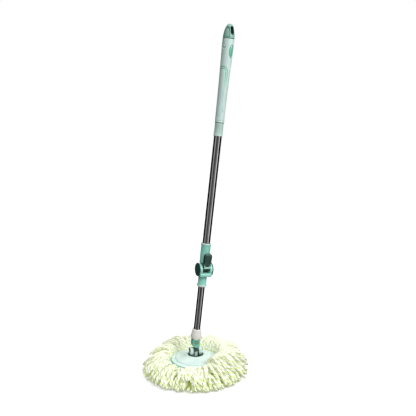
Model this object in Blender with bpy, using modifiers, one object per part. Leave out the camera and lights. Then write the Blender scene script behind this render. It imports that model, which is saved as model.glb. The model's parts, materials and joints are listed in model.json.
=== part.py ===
"""Spin mop with a telescoping, push-to-spin pole: every sub-part is its own solid.

The origin is the centre of the mop head on the floor, +Z is up, and lengths are in metres.
The head lies flat, the pole leans a little at its two-pin neck, and the grip's front faces -Y.
Heights along the pole are measured from the neck's upper pin, the sway pin.
"""
import math

import bmesh
import bpy
from mathutils import Matrix, Vector

# Fits
GAP = 0.0003                       # between pieces that touch
RUNNING_GAP = 0.0004               # between pieces that slide or turn on each other

# Strands
STRAND_REACH = 0.1765              # centre of the head to the strands' ends
STRAND_CREST_Z = 0.067             # top of the strands where they bend over
STRAND_HOLE_R = 0.034
STRAND_LOBES = 20
STRAND_LOBE_HEIGHT = 0.003
STRAND_RING_LIP = 0.0035           # the strand ring's width beyond the plate
STRAND_RING_HOLE_R = 0.052
STRAND_RING_DEPTH = 0.0075

# Plate and hub
PLATE_R = 0.080
PLATE_BASE_Z = 0.0385              # underside of the plate's rim
PLATE_HUB_Z = 0.0605               # top of the plate's raised hub
CUP_R = 0.0259
CUP_DEPTH = 0.020
CUP_WALL = 0.002
CUP_FLOOR = 0.003
BRACKET_CLEARANCE = 0.0007         # round the bracket, in the cup
BRACKET_BASE_HEIGHT = 0.003
HUB_SCREW_INSET = 0.0054           # bracket's edge to a screw's centre
HUB_SCREW_FRONT_ANGLE = 55         # the front screws, either side of the tilt pin's line

# Two-pin neck
TILT_PIN_Z = 0.076
FORK_CLEARANCE = 0.002             # lugs' tops to the round bottom of the fork
PIN_R = 0.003
PIN_CAP_THICKNESS = 0.0014
LUG_INNER = 0.0095                 # middle plane to a lug's inner face
LUG_INSET = 0.0037                 # bracket's edge to a lug's outer face
LUG_R = 0.0095
BLOCK_WIDTH = 0.010
BLOCK_DEPTH = 0.015
BLOCK_TAIL = 0.020                 # reach of the block below the tilt pin
FORK_SHOULDER = 0.0025             # fork's width beyond the collar's seat
FORK_BOWL_DEPTH = 0.003            # round bottom beyond the fork's own radius

# Neck collar
COLLAR_BASE = 0.0085
COLLAR_HEIGHT = 0.0335
COLLAR_WALL = 0.0048               # at the widest, round the seat
COLLAR_SEAT_WALL = 0.002           # seat's width beyond the inner tube
COLLAR_SEAT_HEIGHT = 0.012
COLLAR_NOTCHES = 5
COLLAR_NOTCH_R = 0.0036
SPIGOT_LENGTH = 0.038

# Tubes
INNER_TUBE_R = 0.011
TUBE_CLEARANCE = 0.0007            # between the inner and the outer tube
TUBE_WALL = 0.0008
INNER_TUBE_LENGTH = 0.540
OUTER_TUBE_LENGTH = 0.662

# Lock coupling
LOCK_BASE = 0.190                  # lower lip of the lock, above the sway pin
LOWER_SLEEVE_WALL = 0.003
LOWER_SLEEVE_LENGTH = 0.034
LIP_HEIGHT = 0.006
YOKE_BASE_HEIGHT = 0.013
YOKE_FRONT_WALL = 0.006            # lever pin's axis to the front of the yoke
YOKE_BACK_WALL = 0.001             # yoke's base behind the upper sleeve
CHEEK_R = 0.0195
CHEEK_CLEARANCE = 0.002            # inner tube to a cheek's inner face
CHEEK_THICKNESS = 0.0085
SIDE_CAP_LIP = 0.0023              # side cap's width beyond the cheek
SIDE_CAP_THICKNESS = 0.0022
SLEEVE_WALL = 0.003
SLEEVE_LENGTH = 0.064
SPINE_HALF_WIDTH = 0.007
SPINE_THICKNESS = 0.0037
SPINE_REACH = 0.034                # how far the spine rises behind the upper sleeve
LOCK_SCREW_HEIGHTS = {"lock_screw_lower": 0.010, "lock_screw_upper": 0.026}
SHOE_THICKNESS = 0.0015
SHOE_SIDE_CLEARANCE = 0.004        # shoe's side to a cheek
SHOE_HALF_HEIGHT = 0.007
LEVER_BARREL_R = 0.005
LEVER_PIN_R = 0.0017
LEVER_SIDE_CLEARANCE = 0.0007
LEVER_SLEEVE_CLEARANCE = 0.0014    # closed lever to the upper sleeve
LEVER_LENGTH = 0.053
LEVER_TOP_R = 0.0095
LEVER_LIFT = 0.0085                # base of the yoke to the bottom of the lever's barrel
CAM_OFFSET = 0.0004                # barrel's centre to the lever pin

# Twisted drive inside the tubes
ROD_WIDTH = 0.009
ROD_THICKNESS = 0.003
ROD_PITCH = 0.120                  # rise for one full turn of twist
ROD_STEPS_PER_TURN = 24
ROD_BELOW_NUT = 0.150
BUSH_WALL = 0.0026                 # inner tube's bore to the drive nut, clearances included
NUT_LENGTH = 0.024
NUT_SUNK = 0.018                   # depth of the nut's base below the tube's mouth
BUSH_HEAD_HEIGHT = 0.012
BUSH_LEDGE = 0.006
RETAINER_HEIGHT = 0.003
ROD_STOP_CLEARANCE = 0.0016
ROD_STOP_LENGTH = 0.010
ANCHOR_LENGTH = 0.028
ANCHOR_SUNK = 0.004
ROD_PIN_R = 0.0015

# Grip
FERRULE_LENGTH = 0.042
FERRULE_WALL = 0.0018
GROOVE_RING_HEIGHT = 0.002
GRIP_LENGTH = 0.252
GRIP_WALL_BOTTOM = 0.0021
GRIP_R_TOP = 0.0186
GRIP_OVER_TUBE = 0.030             # grip beyond the outer tube's upper end
GRIP_LEDGE = 0.0005                # ledge in the grip, over the outer tube's end
GRIP_RINGS = 12
INSET_HEIGHT = 0.040
INSET_WIDTH = 0.015
INSET_BELOW_TOP = 0.036            # grip's top edge to the inset's centre
INSET_DEPTH = 0.0032
GRIP_SCREW_HEIGHT = 0.016
CAP_HEIGHT = 0.045
CAP_STEP = 0.0004                  # cap's base within the grip's top
CAP_SPIGOT_LENGTH = 0.018
CAP_RINGS = 12
HANGING_HOLE_WIDTH = 0.012
HANGING_HOLE_HEIGHT = 0.024
HANGING_HOLE_ABOVE_GRIP = 0.0252   # grip's top edge to the hole's centre

# Small screws
SCREW_HEAD_R = 0.0026
SCREW_HEAD_HEIGHT = 0.0016
SCREW_SHANK_R = 0.0013
SCREW_HOLE_R = SCREW_SHANK_R + GAP

# Rest pose
LEAN = math.radians(6.1)
LEAN_HEADING = math.radians(-42)   # direction of the lean, from +X
HUB_YAW = math.radians(-25)        # the neck's front, from -Y
LOCK_YAW = math.radians(-17)       # the lock's front, from the grip's front

PLATE_STEPS = 48
ROUND_STEPS = 32
SMALL_STEPS = 12

# Places that follow from the sizes above
CUP_BASE_Z = PLATE_HUB_Z - CUP_DEPTH
BRACKET_BASE_Z = CUP_BASE_Z + CUP_FLOOR + GAP
BRACKET_TOP_Z = BRACKET_BASE_Z + BRACKET_BASE_HEIGHT
STRAND_RING_R = PLATE_R + STRAND_RING_LIP
BRACKET_BASE_R = CUP_R - CUP_WALL - BRACKET_CLEARANCE
HUB_SCREW_CIRCLE_R = BRACKET_BASE_R - HUB_SCREW_INSET
LUG_OUTER = BRACKET_BASE_R - LUG_INSET
LUG_THICKNESS = LUG_OUTER - LUG_INNER
PIN_CAP_R = LUG_R - 0.0009
BLOCK_BOSS_R = LUG_R - 0.001
OUTER_TUBE_R = INNER_TUBE_R + TUBE_CLEARANCE + TUBE_WALL
COLLAR_SEAT_R = INNER_TUBE_R + COLLAR_SEAT_WALL
COLLAR_R = COLLAR_SEAT_R + COLLAR_WALL
FORK_R = COLLAR_SEAT_R + FORK_SHOULDER
FORK_BOWL_R = FORK_R + FORK_BOWL_DEPTH         # about the sway pin
PIN_SPACING = LUG_R + FORK_BOWL_R + FORK_CLEARANCE
COLLAR_TOP = COLLAR_BASE + COLLAR_HEIGHT
INNER_TUBE_BASE = COLLAR_BASE + COLLAR_SEAT_HEIGHT
INNER_TUBE_TOP = INNER_TUBE_BASE + INNER_TUBE_LENGTH
INNER_BORE_R = INNER_TUBE_R - TUBE_WALL
OUTER_BORE_R = OUTER_TUBE_R - TUBE_WALL
YOKE_BASE_BOTTOM = LOCK_BASE + LOWER_SLEEVE_LENGTH
YOKE_BASE_TOP = YOKE_BASE_BOTTOM + YOKE_BASE_HEIGHT
LOWER_SLEEVE_R = INNER_TUBE_R + LOWER_SLEEVE_WALL
SLEEVE_R = OUTER_TUBE_R + SLEEVE_WALL
SHOE_FRONT = INNER_TUBE_R + GAP + SHOE_THICKNESS
LEVER_PIN_FORWARD = SHOE_FRONT + GAP + LEVER_BARREL_R + CAM_OFFSET
LEVER_PIN_HEIGHT = YOKE_BASE_TOP + LEVER_LIFT + LEVER_BARREL_R
YOKE_FRONT = LEVER_PIN_FORWARD + YOKE_FRONT_WALL
YOKE_BACK = SLEEVE_R + YOKE_BACK_WALL
CHEEK_FORWARD = YOKE_FRONT - CHEEK_R           # tube's axis to the cheeks' centre
CHEEK_HEIGHT = YOKE_BASE_BOTTOM + CHEEK_R + 0.0025
CHEEK_INNER = INNER_TUBE_R + CHEEK_CLEARANCE
CHEEK_OUTER = CHEEK_INNER + CHEEK_THICKNESS
SIDE_CAP_R = CHEEK_R + SIDE_CAP_LIP
SHOE_HALF_WIDTH = CHEEK_INNER - SHOE_SIDE_CLEARANCE
LEVER_WIDTH = 2 * (CHEEK_INNER - LEVER_SIDE_CLEARANCE)
LEVER_BACK = SLEEVE_R + LEVER_SLEEVE_CLEARANCE - LEVER_PIN_FORWARD
SLEEVE_BASE = CHEEK_HEIGHT + CHEEK_R + 3 * GAP
SLEEVE_TOP = SLEEVE_BASE + SLEEVE_LENGTH
OUTER_TUBE_BASE = SLEEVE_BASE + 0.011
OUTER_TUBE_TOP = OUTER_TUBE_BASE + OUTER_TUBE_LENGTH
NUT_R = INNER_BORE_R - BUSH_WALL
ROD_STOP_R = INNER_BORE_R - ROD_STOP_CLEARANCE
NUT_BASE = INNER_TUBE_TOP - NUT_SUNK
NUT_TOP = NUT_BASE + NUT_LENGTH
ROD_BOTTOM = NUT_BASE - ROD_BELOW_NUT
ANCHOR_BASE = OUTER_TUBE_TOP - ANCHOR_SUNK - ANCHOR_LENGTH
ROD_PIN_HEIGHT = ANCHOR_BASE + ANCHOR_LENGTH / 2
ROD_SWEEP_R = math.hypot(ROD_WIDTH, ROD_THICKNESS) / 2
GRIP_TOP = OUTER_TUBE_TOP + GRIP_OVER_TUBE
GRIP_BASE = GRIP_TOP - GRIP_LENGTH
FERRULE_BASE = GRIP_BASE - FERRULE_LENGTH
INSET_CENTRE = GRIP_TOP - INSET_BELOW_TOP
FERRULE_R = OUTER_TUBE_R + FERRULE_WALL
GRIP_R_BOTTOM = OUTER_TUBE_R + GRIP_WALL_BOTTOM
GRIP_THROAT_R = OUTER_TUBE_R - GRIP_LEDGE
CAP_R = GRIP_R_TOP - CAP_STEP

PALE_MINT = (0.69, 0.82, 0.77)
MINT = (0.27, 0.66, 0.52)
TEAL = (0.17, 0.50, 0.38)
DARK_GREEN = (0.035, 0.115, 0.085)
SAGE = (0.24, 0.43, 0.35)
CREAM = (0.76, 0.72, 0.65)
BLACK = (0.01, 0.012, 0.012)
STEEL = (0.45, 0.45, 0.46)
YARN = (0.86, 0.87, 0.66)


def plastic(name, colour):
    return make_material(name, colour, roughness=0.4, metallic=0.0)


def steel(name):
    return make_material(name, STEEL, roughness=0.25, metallic=1.0)


def make_material(name, colour, roughness, metallic):
    material = bpy.data.materials.new(name)
    material.use_nodes = True
    shader = material.node_tree.nodes["Principled BSDF"]
    shader.inputs["Base Color"].default_value = (*colour, 1.0)
    shader.inputs["Roughness"].default_value = roughness
    shader.inputs["Metallic"].default_value = metallic
    return material


def make_collection(name):
    group = bpy.data.collections.new(name)
    bpy.context.scene.collection.children.link(group)
    return group


def make_frame(name, parent, location=(0, 0, 0), rotation=(0, 0, 0)):
    """An empty that carries pieces; a joint's axis passes through its origin."""
    frame = bpy.data.objects.new(name, None)
    bpy.context.scene.collection.objects.link(frame)
    frame.empty_display_size = 0.02
    place(frame, parent, location, rotation)
    return frame


def place(obj, parent, location, rotation):
    obj.parent = parent
    obj.location = location
    obj.rotation_euler = rotation


def add_piece(mesh, parent, material, location=(0, 0, 0), rotation=(0, 0, 0)):
    piece = bpy.data.objects.new(mesh.name, mesh)
    bpy.data.collections["spin_mop"].objects.link(piece)
    place(piece, parent, location, rotation)
    mesh.materials.append(material)
    mesh.shade_smooth()
    mesh.set_sharp_from_angle(angle=math.radians(35))
    return piece


def add_cutter(mesh, parent, location=(0, 0, 0), rotation=(0, 0, 0)):
    cutter = bpy.data.objects.new(mesh.name, mesh)
    bpy.data.collections["spin_mop_cutters"].objects.link(cutter)
    place(cutter, parent, location, rotation)
    cutter.hide_render = True
    cutter.display_type = "WIRE"
    return cutter


def boolean(piece, operation, *cutters):
    for cutter in cutters:
        modifier = piece.modifiers.new(cutter.name, "BOOLEAN")
        modifier.operation = operation
        modifier.solver = "EXACT"
        modifier.object = cutter


def screw(obj, steps=ROUND_STEPS):
    """Turn an outline about Z into a closed solid."""
    modifier = obj.modifiers.new("turn", "SCREW")
    modifier.angle = 2 * math.pi
    modifier.steps = steps
    modifier.render_steps = steps
    modifier.use_merge_vertices = True
    modifier.merge_threshold = 0.00001
    return obj


def outline_area(points):
    return sum(a[0] * b[1] - b[0] * a[1] for a, b in zip(points, points[1:] + points[:1])) / 2


def profile_mesh(name, points):
    """A closed (radius, height) outline at +X that runs down its outer side; the axis stays open."""
    points = list(points)
    if outline_area(points) > 0:
        points.reverse()
    bm = bmesh.new()
    verts = [bm.verts.new((radius, 0, height)) for radius, height in points]
    for start, end in zip(verts, verts[1:] + verts[:1]):
        if start.co.x > 0 or end.co.x > 0:
            bm.edges.new((start, end))
    mesh = bpy.data.meshes.new(name)
    bm.to_mesh(mesh)
    bm.free()
    return mesh


def closed_mesh(name, bm):
    bmesh.ops.recalc_face_normals(bm, faces=bm.faces)
    mesh = bpy.data.meshes.new(name)
    bm.to_mesh(mesh)
    bm.free()
    return mesh


def cylinder_mesh(name, radius, length, steps=SMALL_STEPS, end_radius=None):
    """A cylinder along Z, centred on its origin."""
    bm = bmesh.new()
    bmesh.ops.create_cone(bm, cap_ends=True, segments=steps, radius1=radius,
                          radius2=radius if end_radius is None else end_radius, depth=length)
    return closed_mesh(name, bm)


def box_mesh(name, low, high, edge_r=0.0, edge_steps=3):
    bm = bmesh.new()
    bmesh.ops.create_cube(bm, size=1.0)
    bmesh.ops.scale(bm, vec=Vector(high) - Vector(low), verts=bm.verts)
    bmesh.ops.translate(bm, vec=(Vector(low) + Vector(high)) / 2, verts=bm.verts)
    if edge_r:
        bmesh.ops.bevel(bm, geom=bm.edges[:], offset=edge_r, segments=edge_steps,
                        profile=0.5, affect="EDGES")
    return closed_mesh(name, bm)


def outline_mesh(name, points, thickness):
    """A flat outline in its own XY plane, thickened evenly to both sides."""
    curve = bpy.data.curves.new(name, "CURVE")
    curve.dimensions = "2D"
    curve.fill_mode = "BOTH"
    curve.extrude = thickness / 2
    points = list(points)
    spline = curve.splines.new("POLY")
    spline.points.add(len(points) - 1)
    for point, (x, y) in zip(spline.points, points):
        point.co = (x, y, 0, 1)
    spline.use_cyclic_u = True
    holder = bpy.data.objects.new(name + "_outline", curve)
    bpy.context.scene.collection.objects.link(holder)
    flat = bpy.data.meshes.new_from_object(
        holder.evaluated_get(bpy.context.evaluated_depsgraph_get()))
    bpy.data.objects.remove(holder, do_unlink=True)
    bm = bmesh.new()
    bm.from_mesh(flat)
    bpy.data.meshes.remove(flat)
    bmesh.ops.remove_doubles(bm, verts=bm.verts, dist=0.000001)
    return closed_mesh(name, bm)


def arc(centre_x, centre_y, radius, start, end, steps):
    """Points of a round stretch, from one angle in degrees to another, both included."""
    for step in range(steps + 1):
        angle = math.radians(start + (end - start) * step / steps)
        yield centre_x + radius * math.cos(angle), centre_y + radius * math.sin(angle)


def twisted_bar_mesh(name, width, thickness, bottom, top):
    """A flat bar that twists about Z; its width lies along Y at the rod pin's height.

    Its ends are whole steps away from the rod pin, so that the rod and its slots share their facets.
    """
    rise = ROD_PITCH / ROD_STEPS_PER_TURN
    steps_below_pin = math.ceil((ROD_PIN_HEIGHT - bottom) / rise)
    bottom = ROD_PIN_HEIGHT - steps_below_pin * rise
    steps = math.ceil((top - bottom) / rise)
    first_turn = -2 * math.pi * steps_below_pin / ROD_STEPS_PER_TURN
    bm = bmesh.new()
    corners = [(-thickness, -width), (thickness, -width), (thickness, 0), (thickness, width),
               (-thickness, width), (-thickness, 0)]
    section = [bm.verts.new((x / 2, y / 2, bottom)) for x, y in corners]
    bmesh.ops.rotate(bm, cent=(0, 0, 0), matrix=Matrix.Rotation(first_turn, 3, "Z"), verts=section)
    edges = [bm.edges.new(pair) for pair in zip(section, section[1:] + section[:1])]
    swept = bmesh.ops.spin(bm, geom=section + edges, cent=(0, 0, 0), axis=(0, 0, 1),
                           dvec=(0, 0, rise), angle=steps * 2 * math.pi / ROD_STEPS_PER_TURN,
                           steps=steps)
    last = [item for item in swept["geom_last"] if isinstance(item, bmesh.types.BMEdge)]
    bmesh.ops.contextual_create(bm, geom=edges)
    bmesh.ops.contextual_create(bm, geom=last)
    bmesh.ops.triangulate(bm, faces=bm.faces[:], quad_method="FIXED")
    return closed_mesh(name, bm)


ALONG_X = (0, math.pi / 2, 0)
ALONG_Y = (math.pi / 2, 0, 0)
SIDE_VIEW = (math.pi / 2, 0, math.pi / 2)      # outline x to +Y, outline y to +Z
FRONT_VIEW = (math.pi / 2, 0, 0)               # outline x to +X, outline y to +Z


def side_hole(name, radius, parent, location, rotation, length=0.08):
    return add_cutter(cylinder_mesh(name, radius, length), parent, location, rotation)


def small_screw(name, parent, location, rotation, shank_length):
    """A pan-head screw; its origin is under the head, and its shank runs along -Z."""
    outline = [(0, SCREW_HEAD_HEIGHT), (SCREW_HEAD_R * 0.7, SCREW_HEAD_HEIGHT),
               (SCREW_HEAD_R, SCREW_HEAD_HEIGHT * 0.5), (SCREW_HEAD_R, GAP),
               (SCREW_SHANK_R, GAP), (SCREW_SHANK_R, -shank_length), (0, -shank_length)]
    piece = add_piece(profile_mesh(name, outline), parent, steel(name), location, rotation)
    return screw(piece, SMALL_STEPS)


# ---------------------------------------------------------------- mop head

def mop_strands(head):
    """The strands as one soft ring: flat below, bent over the plate's edge above."""
    seat_z = PLATE_BASE_Z - STRAND_RING_DEPTH - 2 * GAP
    collar_r = STRAND_RING_R + 0.002
    spread = STRAND_REACH - collar_r
    outline = [
        (STRAND_HOLE_R, 0), (STRAND_REACH - 0.016, 0), (STRAND_REACH - 0.005, 0.006),
        (STRAND_REACH, 0.018), (STRAND_REACH - 0.002, 0.032), (STRAND_REACH - 0.014, 0.050),
        (collar_r + 0.60 * spread, STRAND_CREST_Z - 0.004), (collar_r + 0.36 * spread, STRAND_CREST_Z),
        (collar_r + 0.14 * spread, STRAND_CREST_Z - 0.006), (collar_r + 0.001, STRAND_CREST_Z - 0.021),
        (collar_r, seat_z), (STRAND_HOLE_R, seat_z)]
    bm = bmesh.new()
    verts = [bm.verts.new((radius, 0, height)) for radius, height in outline]
    edges = [bm.edges.new(pair) for pair in zip(verts, verts[1:] + verts[:1])]
    bmesh.ops.spin(bm, geom=verts + edges, cent=(0, 0, 0), axis=(0, 0, 1), angle=2 * math.pi,
                   steps=4 * STRAND_LOBES, use_merge=True)
    for vert in bm.verts:
        reach = vert.co.xy.length
        share = max(0.0, (reach - collar_r - 0.001) / spread)
        wave = math.sin(STRAND_LOBES * math.atan2(vert.co.y, vert.co.x))
        vert.co.xy *= 1 + STRAND_LOBE_HEIGHT * share * wave / reach
    yarn = make_material("mop_strands", YARN, roughness=0.9, metallic=0.0)
    add_piece(closed_mesh("mop_strands", bm), head, yarn)


def strand_ring(head):
    """The plastic ring that the strands are sewn to; the plate snaps into its lip."""
    top = PLATE_BASE_Z - GAP
    outline = [
        (STRAND_RING_HOLE_R, top), (PLATE_R + GAP, top), (PLATE_R + GAP, top + 0.002),
        (STRAND_RING_R - 0.0008, top + 0.002), (STRAND_RING_R, top + 0.0012),
        (STRAND_RING_R, top - STRAND_RING_DEPTH), (STRAND_RING_HOLE_R, top - STRAND_RING_DEPTH)]
    ring = add_piece(profile_mesh("strand_ring", outline), head, plastic("strand_ring", MINT))
    screw(ring, PLATE_STEPS)


def head_plate(head):
    """The round cover plate: a raised hub round the cup, a dome, and a stepped rim."""
    well_r = CUP_R + GAP
    shelf_top = CUP_BASE_Z - GAP
    shelf_bottom = shelf_top - 0.0028
    outline = [
        (well_r, PLATE_HUB_Z), (well_r + 0.0040, PLATE_HUB_Z), (well_r + 0.0070, PLATE_HUB_Z - 0.003),
        (well_r + 0.0150, PLATE_HUB_Z - 0.0065), (PLATE_R - 0.0145, PLATE_BASE_Z + 0.0090),
        (PLATE_R - 0.0125, PLATE_BASE_Z + 0.0072), (PLATE_R - 0.0025, PLATE_BASE_Z + 0.0052),
        (PLATE_R, PLATE_BASE_Z + 0.0035), (PLATE_R, PLATE_BASE_Z), (PLATE_R - 0.0025, PLATE_BASE_Z),
        (PLATE_R - 0.0045, PLATE_BASE_Z + 0.0026), (PLATE_R - 0.0125, PLATE_BASE_Z + 0.0042),
        (PLATE_R - 0.0145, PLATE_BASE_Z + 0.0060), (well_r + 0.0150, PLATE_HUB_Z - 0.0100),
        (well_r + 0.0030, PLATE_HUB_Z - 0.0100), (well_r + 0.0030, shelf_bottom),
        (HUB_SCREW_CIRCLE_R - 0.005, shelf_bottom), (HUB_SCREW_CIRCLE_R - 0.005, shelf_top),
        (well_r, shelf_top)]
    plate = add_piece(profile_mesh("head_plate", outline), head, plastic("head_plate", PALE_MINT))
    screw(plate, PLATE_STEPS)
    return plate


def hub_cup(head):
    """The dark cup that the neck's tail swings in."""
    rim = PLATE_HUB_Z - 0.0008
    floor = CUP_BASE_Z + CUP_FLOOR
    outline = [(0, floor), (CUP_R - CUP_WALL, floor), (CUP_R - CUP_WALL, rim), (CUP_R, rim),
               (CUP_R, CUP_BASE_Z), (0, CUP_BASE_Z)]
    cup = add_piece(profile_mesh("hub_cup", outline), head, plastic("hub_cup", DARK_GREEN))
    return screw(cup)


def hub_bracket(hub):
    """A base disc with two upright lugs that hold the tilt pin."""
    base = cylinder_mesh("hub_bracket", BRACKET_BASE_R, BRACKET_BASE_HEIGHT, ROUND_STEPS)
    middle = (BRACKET_BASE_Z + BRACKET_TOP_Z) / 2
    bracket = add_piece(base, hub, plastic("hub_bracket", PALE_MINT), (0, 0, middle))
    screw_y = HUB_SCREW_CIRCLE_R * math.sin(math.radians(HUB_SCREW_FRONT_ANGLE))
    foot = (screw_y - SCREW_HEAD_R - 0.0011, middle - TILT_PIN_Z)
    lug = [(-foot[0], foot[1]), foot, *arc(0, 0, LUG_R, 0, 180, 12)]
    for side in (-1, 1):
        centre = (side * (LUG_INNER + LUG_THICKNESS / 2), 0, TILT_PIN_Z)
        cutter = add_cutter(outline_mesh(f"bracket_lug_{side}", lug, LUG_THICKNESS), hub, centre,
                            SIDE_VIEW)
        boolean(bracket, "UNION", cutter)
    boolean(bracket, "DIFFERENCE",
            side_hole("bracket_pin_hole", PIN_R + GAP, hub, (0, 0, TILT_PIN_Z), ALONG_X))
    return bracket


def hub_screws(hub, drilled):
    """Three screws that hold the bracket and the cup to the plate's shelf."""
    headings = {"hub_screw_left": HUB_SCREW_FRONT_ANGLE - 180,
                "hub_screw_right": -HUB_SCREW_FRONT_ANGLE, "hub_screw_back": 90}
    for name, heading in headings.items():
        x, y = next(arc(0, 0, HUB_SCREW_CIRCLE_R, heading, heading, 1))
        small_screw(name, hub, (x, y, BRACKET_TOP_Z), (0, 0, 0), shank_length=0.0085)
        hole = side_hole(name + "_hole", SCREW_HOLE_R, hub, (x, y, CUP_BASE_Z), (0, 0, 0), 0.02)
        for piece in drilled:
            boolean(piece, "DIFFERENCE", hole)


def tilt_pin(hub):
    pin = cylinder_mesh("tilt_pin", PIN_R, 2 * LUG_OUTER - 0.001)
    add_piece(pin, hub, steel("tilt_pin"), (0, 0, TILT_PIN_Z), ALONG_X)
    for side, name in ((-1, "tilt_pin_cap_left"), (1, "tilt_pin_cap_right")):
        cap = cylinder_mesh(name, PIN_CAP_R, PIN_CAP_THICKNESS, ROUND_STEPS, PIN_CAP_R - 0.0006)
        x = side * (LUG_OUTER + GAP + PIN_CAP_THICKNESS / 2)
        add_piece(cap, hub, plastic(name, BLACK), (x, 0, TILT_PIN_Z), (0, side * math.pi / 2, 0))


# ---------------------------------------------------------------- neck

def cross_block(tilt):
    """The link between the two pins, with a tail that swings in the cup."""
    bar = box_mesh("cross_block", (-BLOCK_WIDTH / 2, -BLOCK_DEPTH / 2, -BLOCK_TAIL),
                   (BLOCK_WIDTH / 2, BLOCK_DEPTH / 2, PIN_SPACING), edge_r=0.0008, edge_steps=1)
    block = add_piece(bar, tilt, plastic("cross_block", PALE_MINT))
    low_boss = add_cutter(cylinder_mesh("block_tilt_boss", BLOCK_BOSS_R, 2 * (LUG_INNER - GAP),
                                        ROUND_STEPS), tilt, (0, 0, 0), ALONG_X)
    high_boss = add_cutter(cylinder_mesh("block_sway_boss", BLOCK_BOSS_R, BLOCK_DEPTH, ROUND_STEPS),
                           tilt, (0, 0, PIN_SPACING), ALONG_Y)
    boolean(block, "UNION", low_boss, high_boss)
    boolean(block, "DIFFERENCE",
            side_hole("block_tilt_hole", PIN_R + RUNNING_GAP, tilt, (0, 0, 0), ALONG_X),
            side_hole("block_sway_hole", PIN_R + RUNNING_GAP, tilt, (0, 0, PIN_SPACING), ALONG_Y))


def neck_fork(sway):
    """The neck: two cheeks round the block, a round bottom, and a spigot in the inner tube."""
    spigot_r = INNER_BORE_R - GAP
    spigot_top = INNER_TUBE_BASE + SPIGOT_LENGTH
    seat_top = INNER_TUBE_BASE - GAP
    shoulder = COLLAR_BASE - GAP
    outline = [
        (0, spigot_top), (spigot_r - 0.001, spigot_top), (spigot_r, spigot_top - 0.002),
        (spigot_r, seat_top), (COLLAR_SEAT_R, seat_top), (COLLAR_SEAT_R, shoulder),
        (FORK_R, shoulder), (FORK_R, -FORK_BOWL_R), (0, -FORK_BOWL_R)]
    fork = screw(add_piece(profile_mesh("neck_fork", outline), sway, plastic("neck_fork", TEAL)))
    wide = FORK_BOWL_R
    bowl = [*arc(0, 0, FORK_BOWL_R, 180, 360, 16), (wide, spigot_top + 0.01),
            (-wide, spigot_top + 0.01)]
    boolean(fork, "INTERSECT",
            add_cutter(outline_mesh("fork_bowl", bowl, 4 * FORK_R), sway, (0, 0, 0), FRONT_VIEW))
    half_slot = BLOCK_DEPTH / 2 + GAP
    slot = box_mesh("fork_slot", (-2 * FORK_R, -half_slot, -2 * FORK_BOWL_R),
                    (2 * FORK_R, half_slot, BLOCK_BOSS_R + 0.002))
    boolean(fork, "DIFFERENCE", add_cutter(slot, sway),
            side_hole("fork_pin_hole", PIN_R + GAP, sway, (0, 0, 0), ALONG_Y))
    pin = cylinder_mesh("sway_pin", PIN_R, 2 * FORK_R - 0.001)
    add_piece(pin, sway, steel("sway_pin"), (0, 0, 0), ALONG_Y)
    return fork


def neck_collar(sway):
    """A barrel-shaped collar with a notched lower edge, over the fork's seat and the tube."""
    seat_r = COLLAR_SEAT_R + GAP
    tube_r = INNER_TUBE_R + GAP
    outline = [
        (tube_r, COLLAR_TOP), (COLLAR_R - 0.0044, COLLAR_TOP), (COLLAR_R - 0.0028, COLLAR_TOP - 0.0015),
        (COLLAR_R - 0.0012, COLLAR_TOP - 0.0080), (COLLAR_R - 0.0002, COLLAR_TOP - 0.0160),
        (COLLAR_R, COLLAR_BASE + 0.0095), (COLLAR_R - 0.0004, COLLAR_BASE + 0.0020),
        (COLLAR_R - 0.0010, COLLAR_BASE), (seat_r, COLLAR_BASE), (seat_r, INNER_TUBE_BASE),
        (tube_r, INNER_TUBE_BASE)]
    collar = screw(add_piece(profile_mesh("neck_collar", outline), sway,
                             plastic("neck_collar", CREAM)))
    for notch in range(COLLAR_NOTCHES):
        heading = 2 * math.pi * (notch + 0.5) / COLLAR_NOTCHES
        centre = (COLLAR_R * math.cos(heading), COLLAR_R * math.sin(heading),
                  COLLAR_BASE - COLLAR_NOTCH_R * 0.35)
        boolean(collar, "DIFFERENCE",
                side_hole(f"collar_notch_{notch}", COLLAR_NOTCH_R, sway, centre,
                          (0, math.pi / 2, heading), 2 * (COLLAR_R - seat_r) + 0.002))
    return collar


def inner_tube(sway):
    outline = [(INNER_BORE_R, INNER_TUBE_BASE), (INNER_TUBE_R, INNER_TUBE_BASE),
               (INNER_TUBE_R, INNER_TUBE_TOP), (INNER_BORE_R, INNER_TUBE_TOP)]
    return screw(add_piece(profile_mesh("inner_tube", outline), sway, steel("inner_tube")))


def collar_screw(sway, drilled):
    """One screw from behind ties the collar, the inner tube and the fork's spigot together."""
    height = INNER_TUBE_BASE + 0.010
    face = COLLAR_R - 0.0022
    small_screw("collar_screw", sway, (0, face, height), (-math.pi / 2, 0, 0), shank_length=0.008)
    shank_hole = side_hole("collar_screw_hole", SCREW_HOLE_R, sway, (0, face, height), ALONG_Y, 0.018)
    for piece in drilled:
        boolean(piece, "DIFFERENCE", shank_hole)
    head_hole = side_hole("collar_screw_well", SCREW_HEAD_R + GAP, sway, (0, face + 0.01, height),
                          ALONG_Y, 0.02)
    boolean(drilled[0], "DIFFERENCE", head_hole)


# ---------------------------------------------------------------- twisted drive

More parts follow.
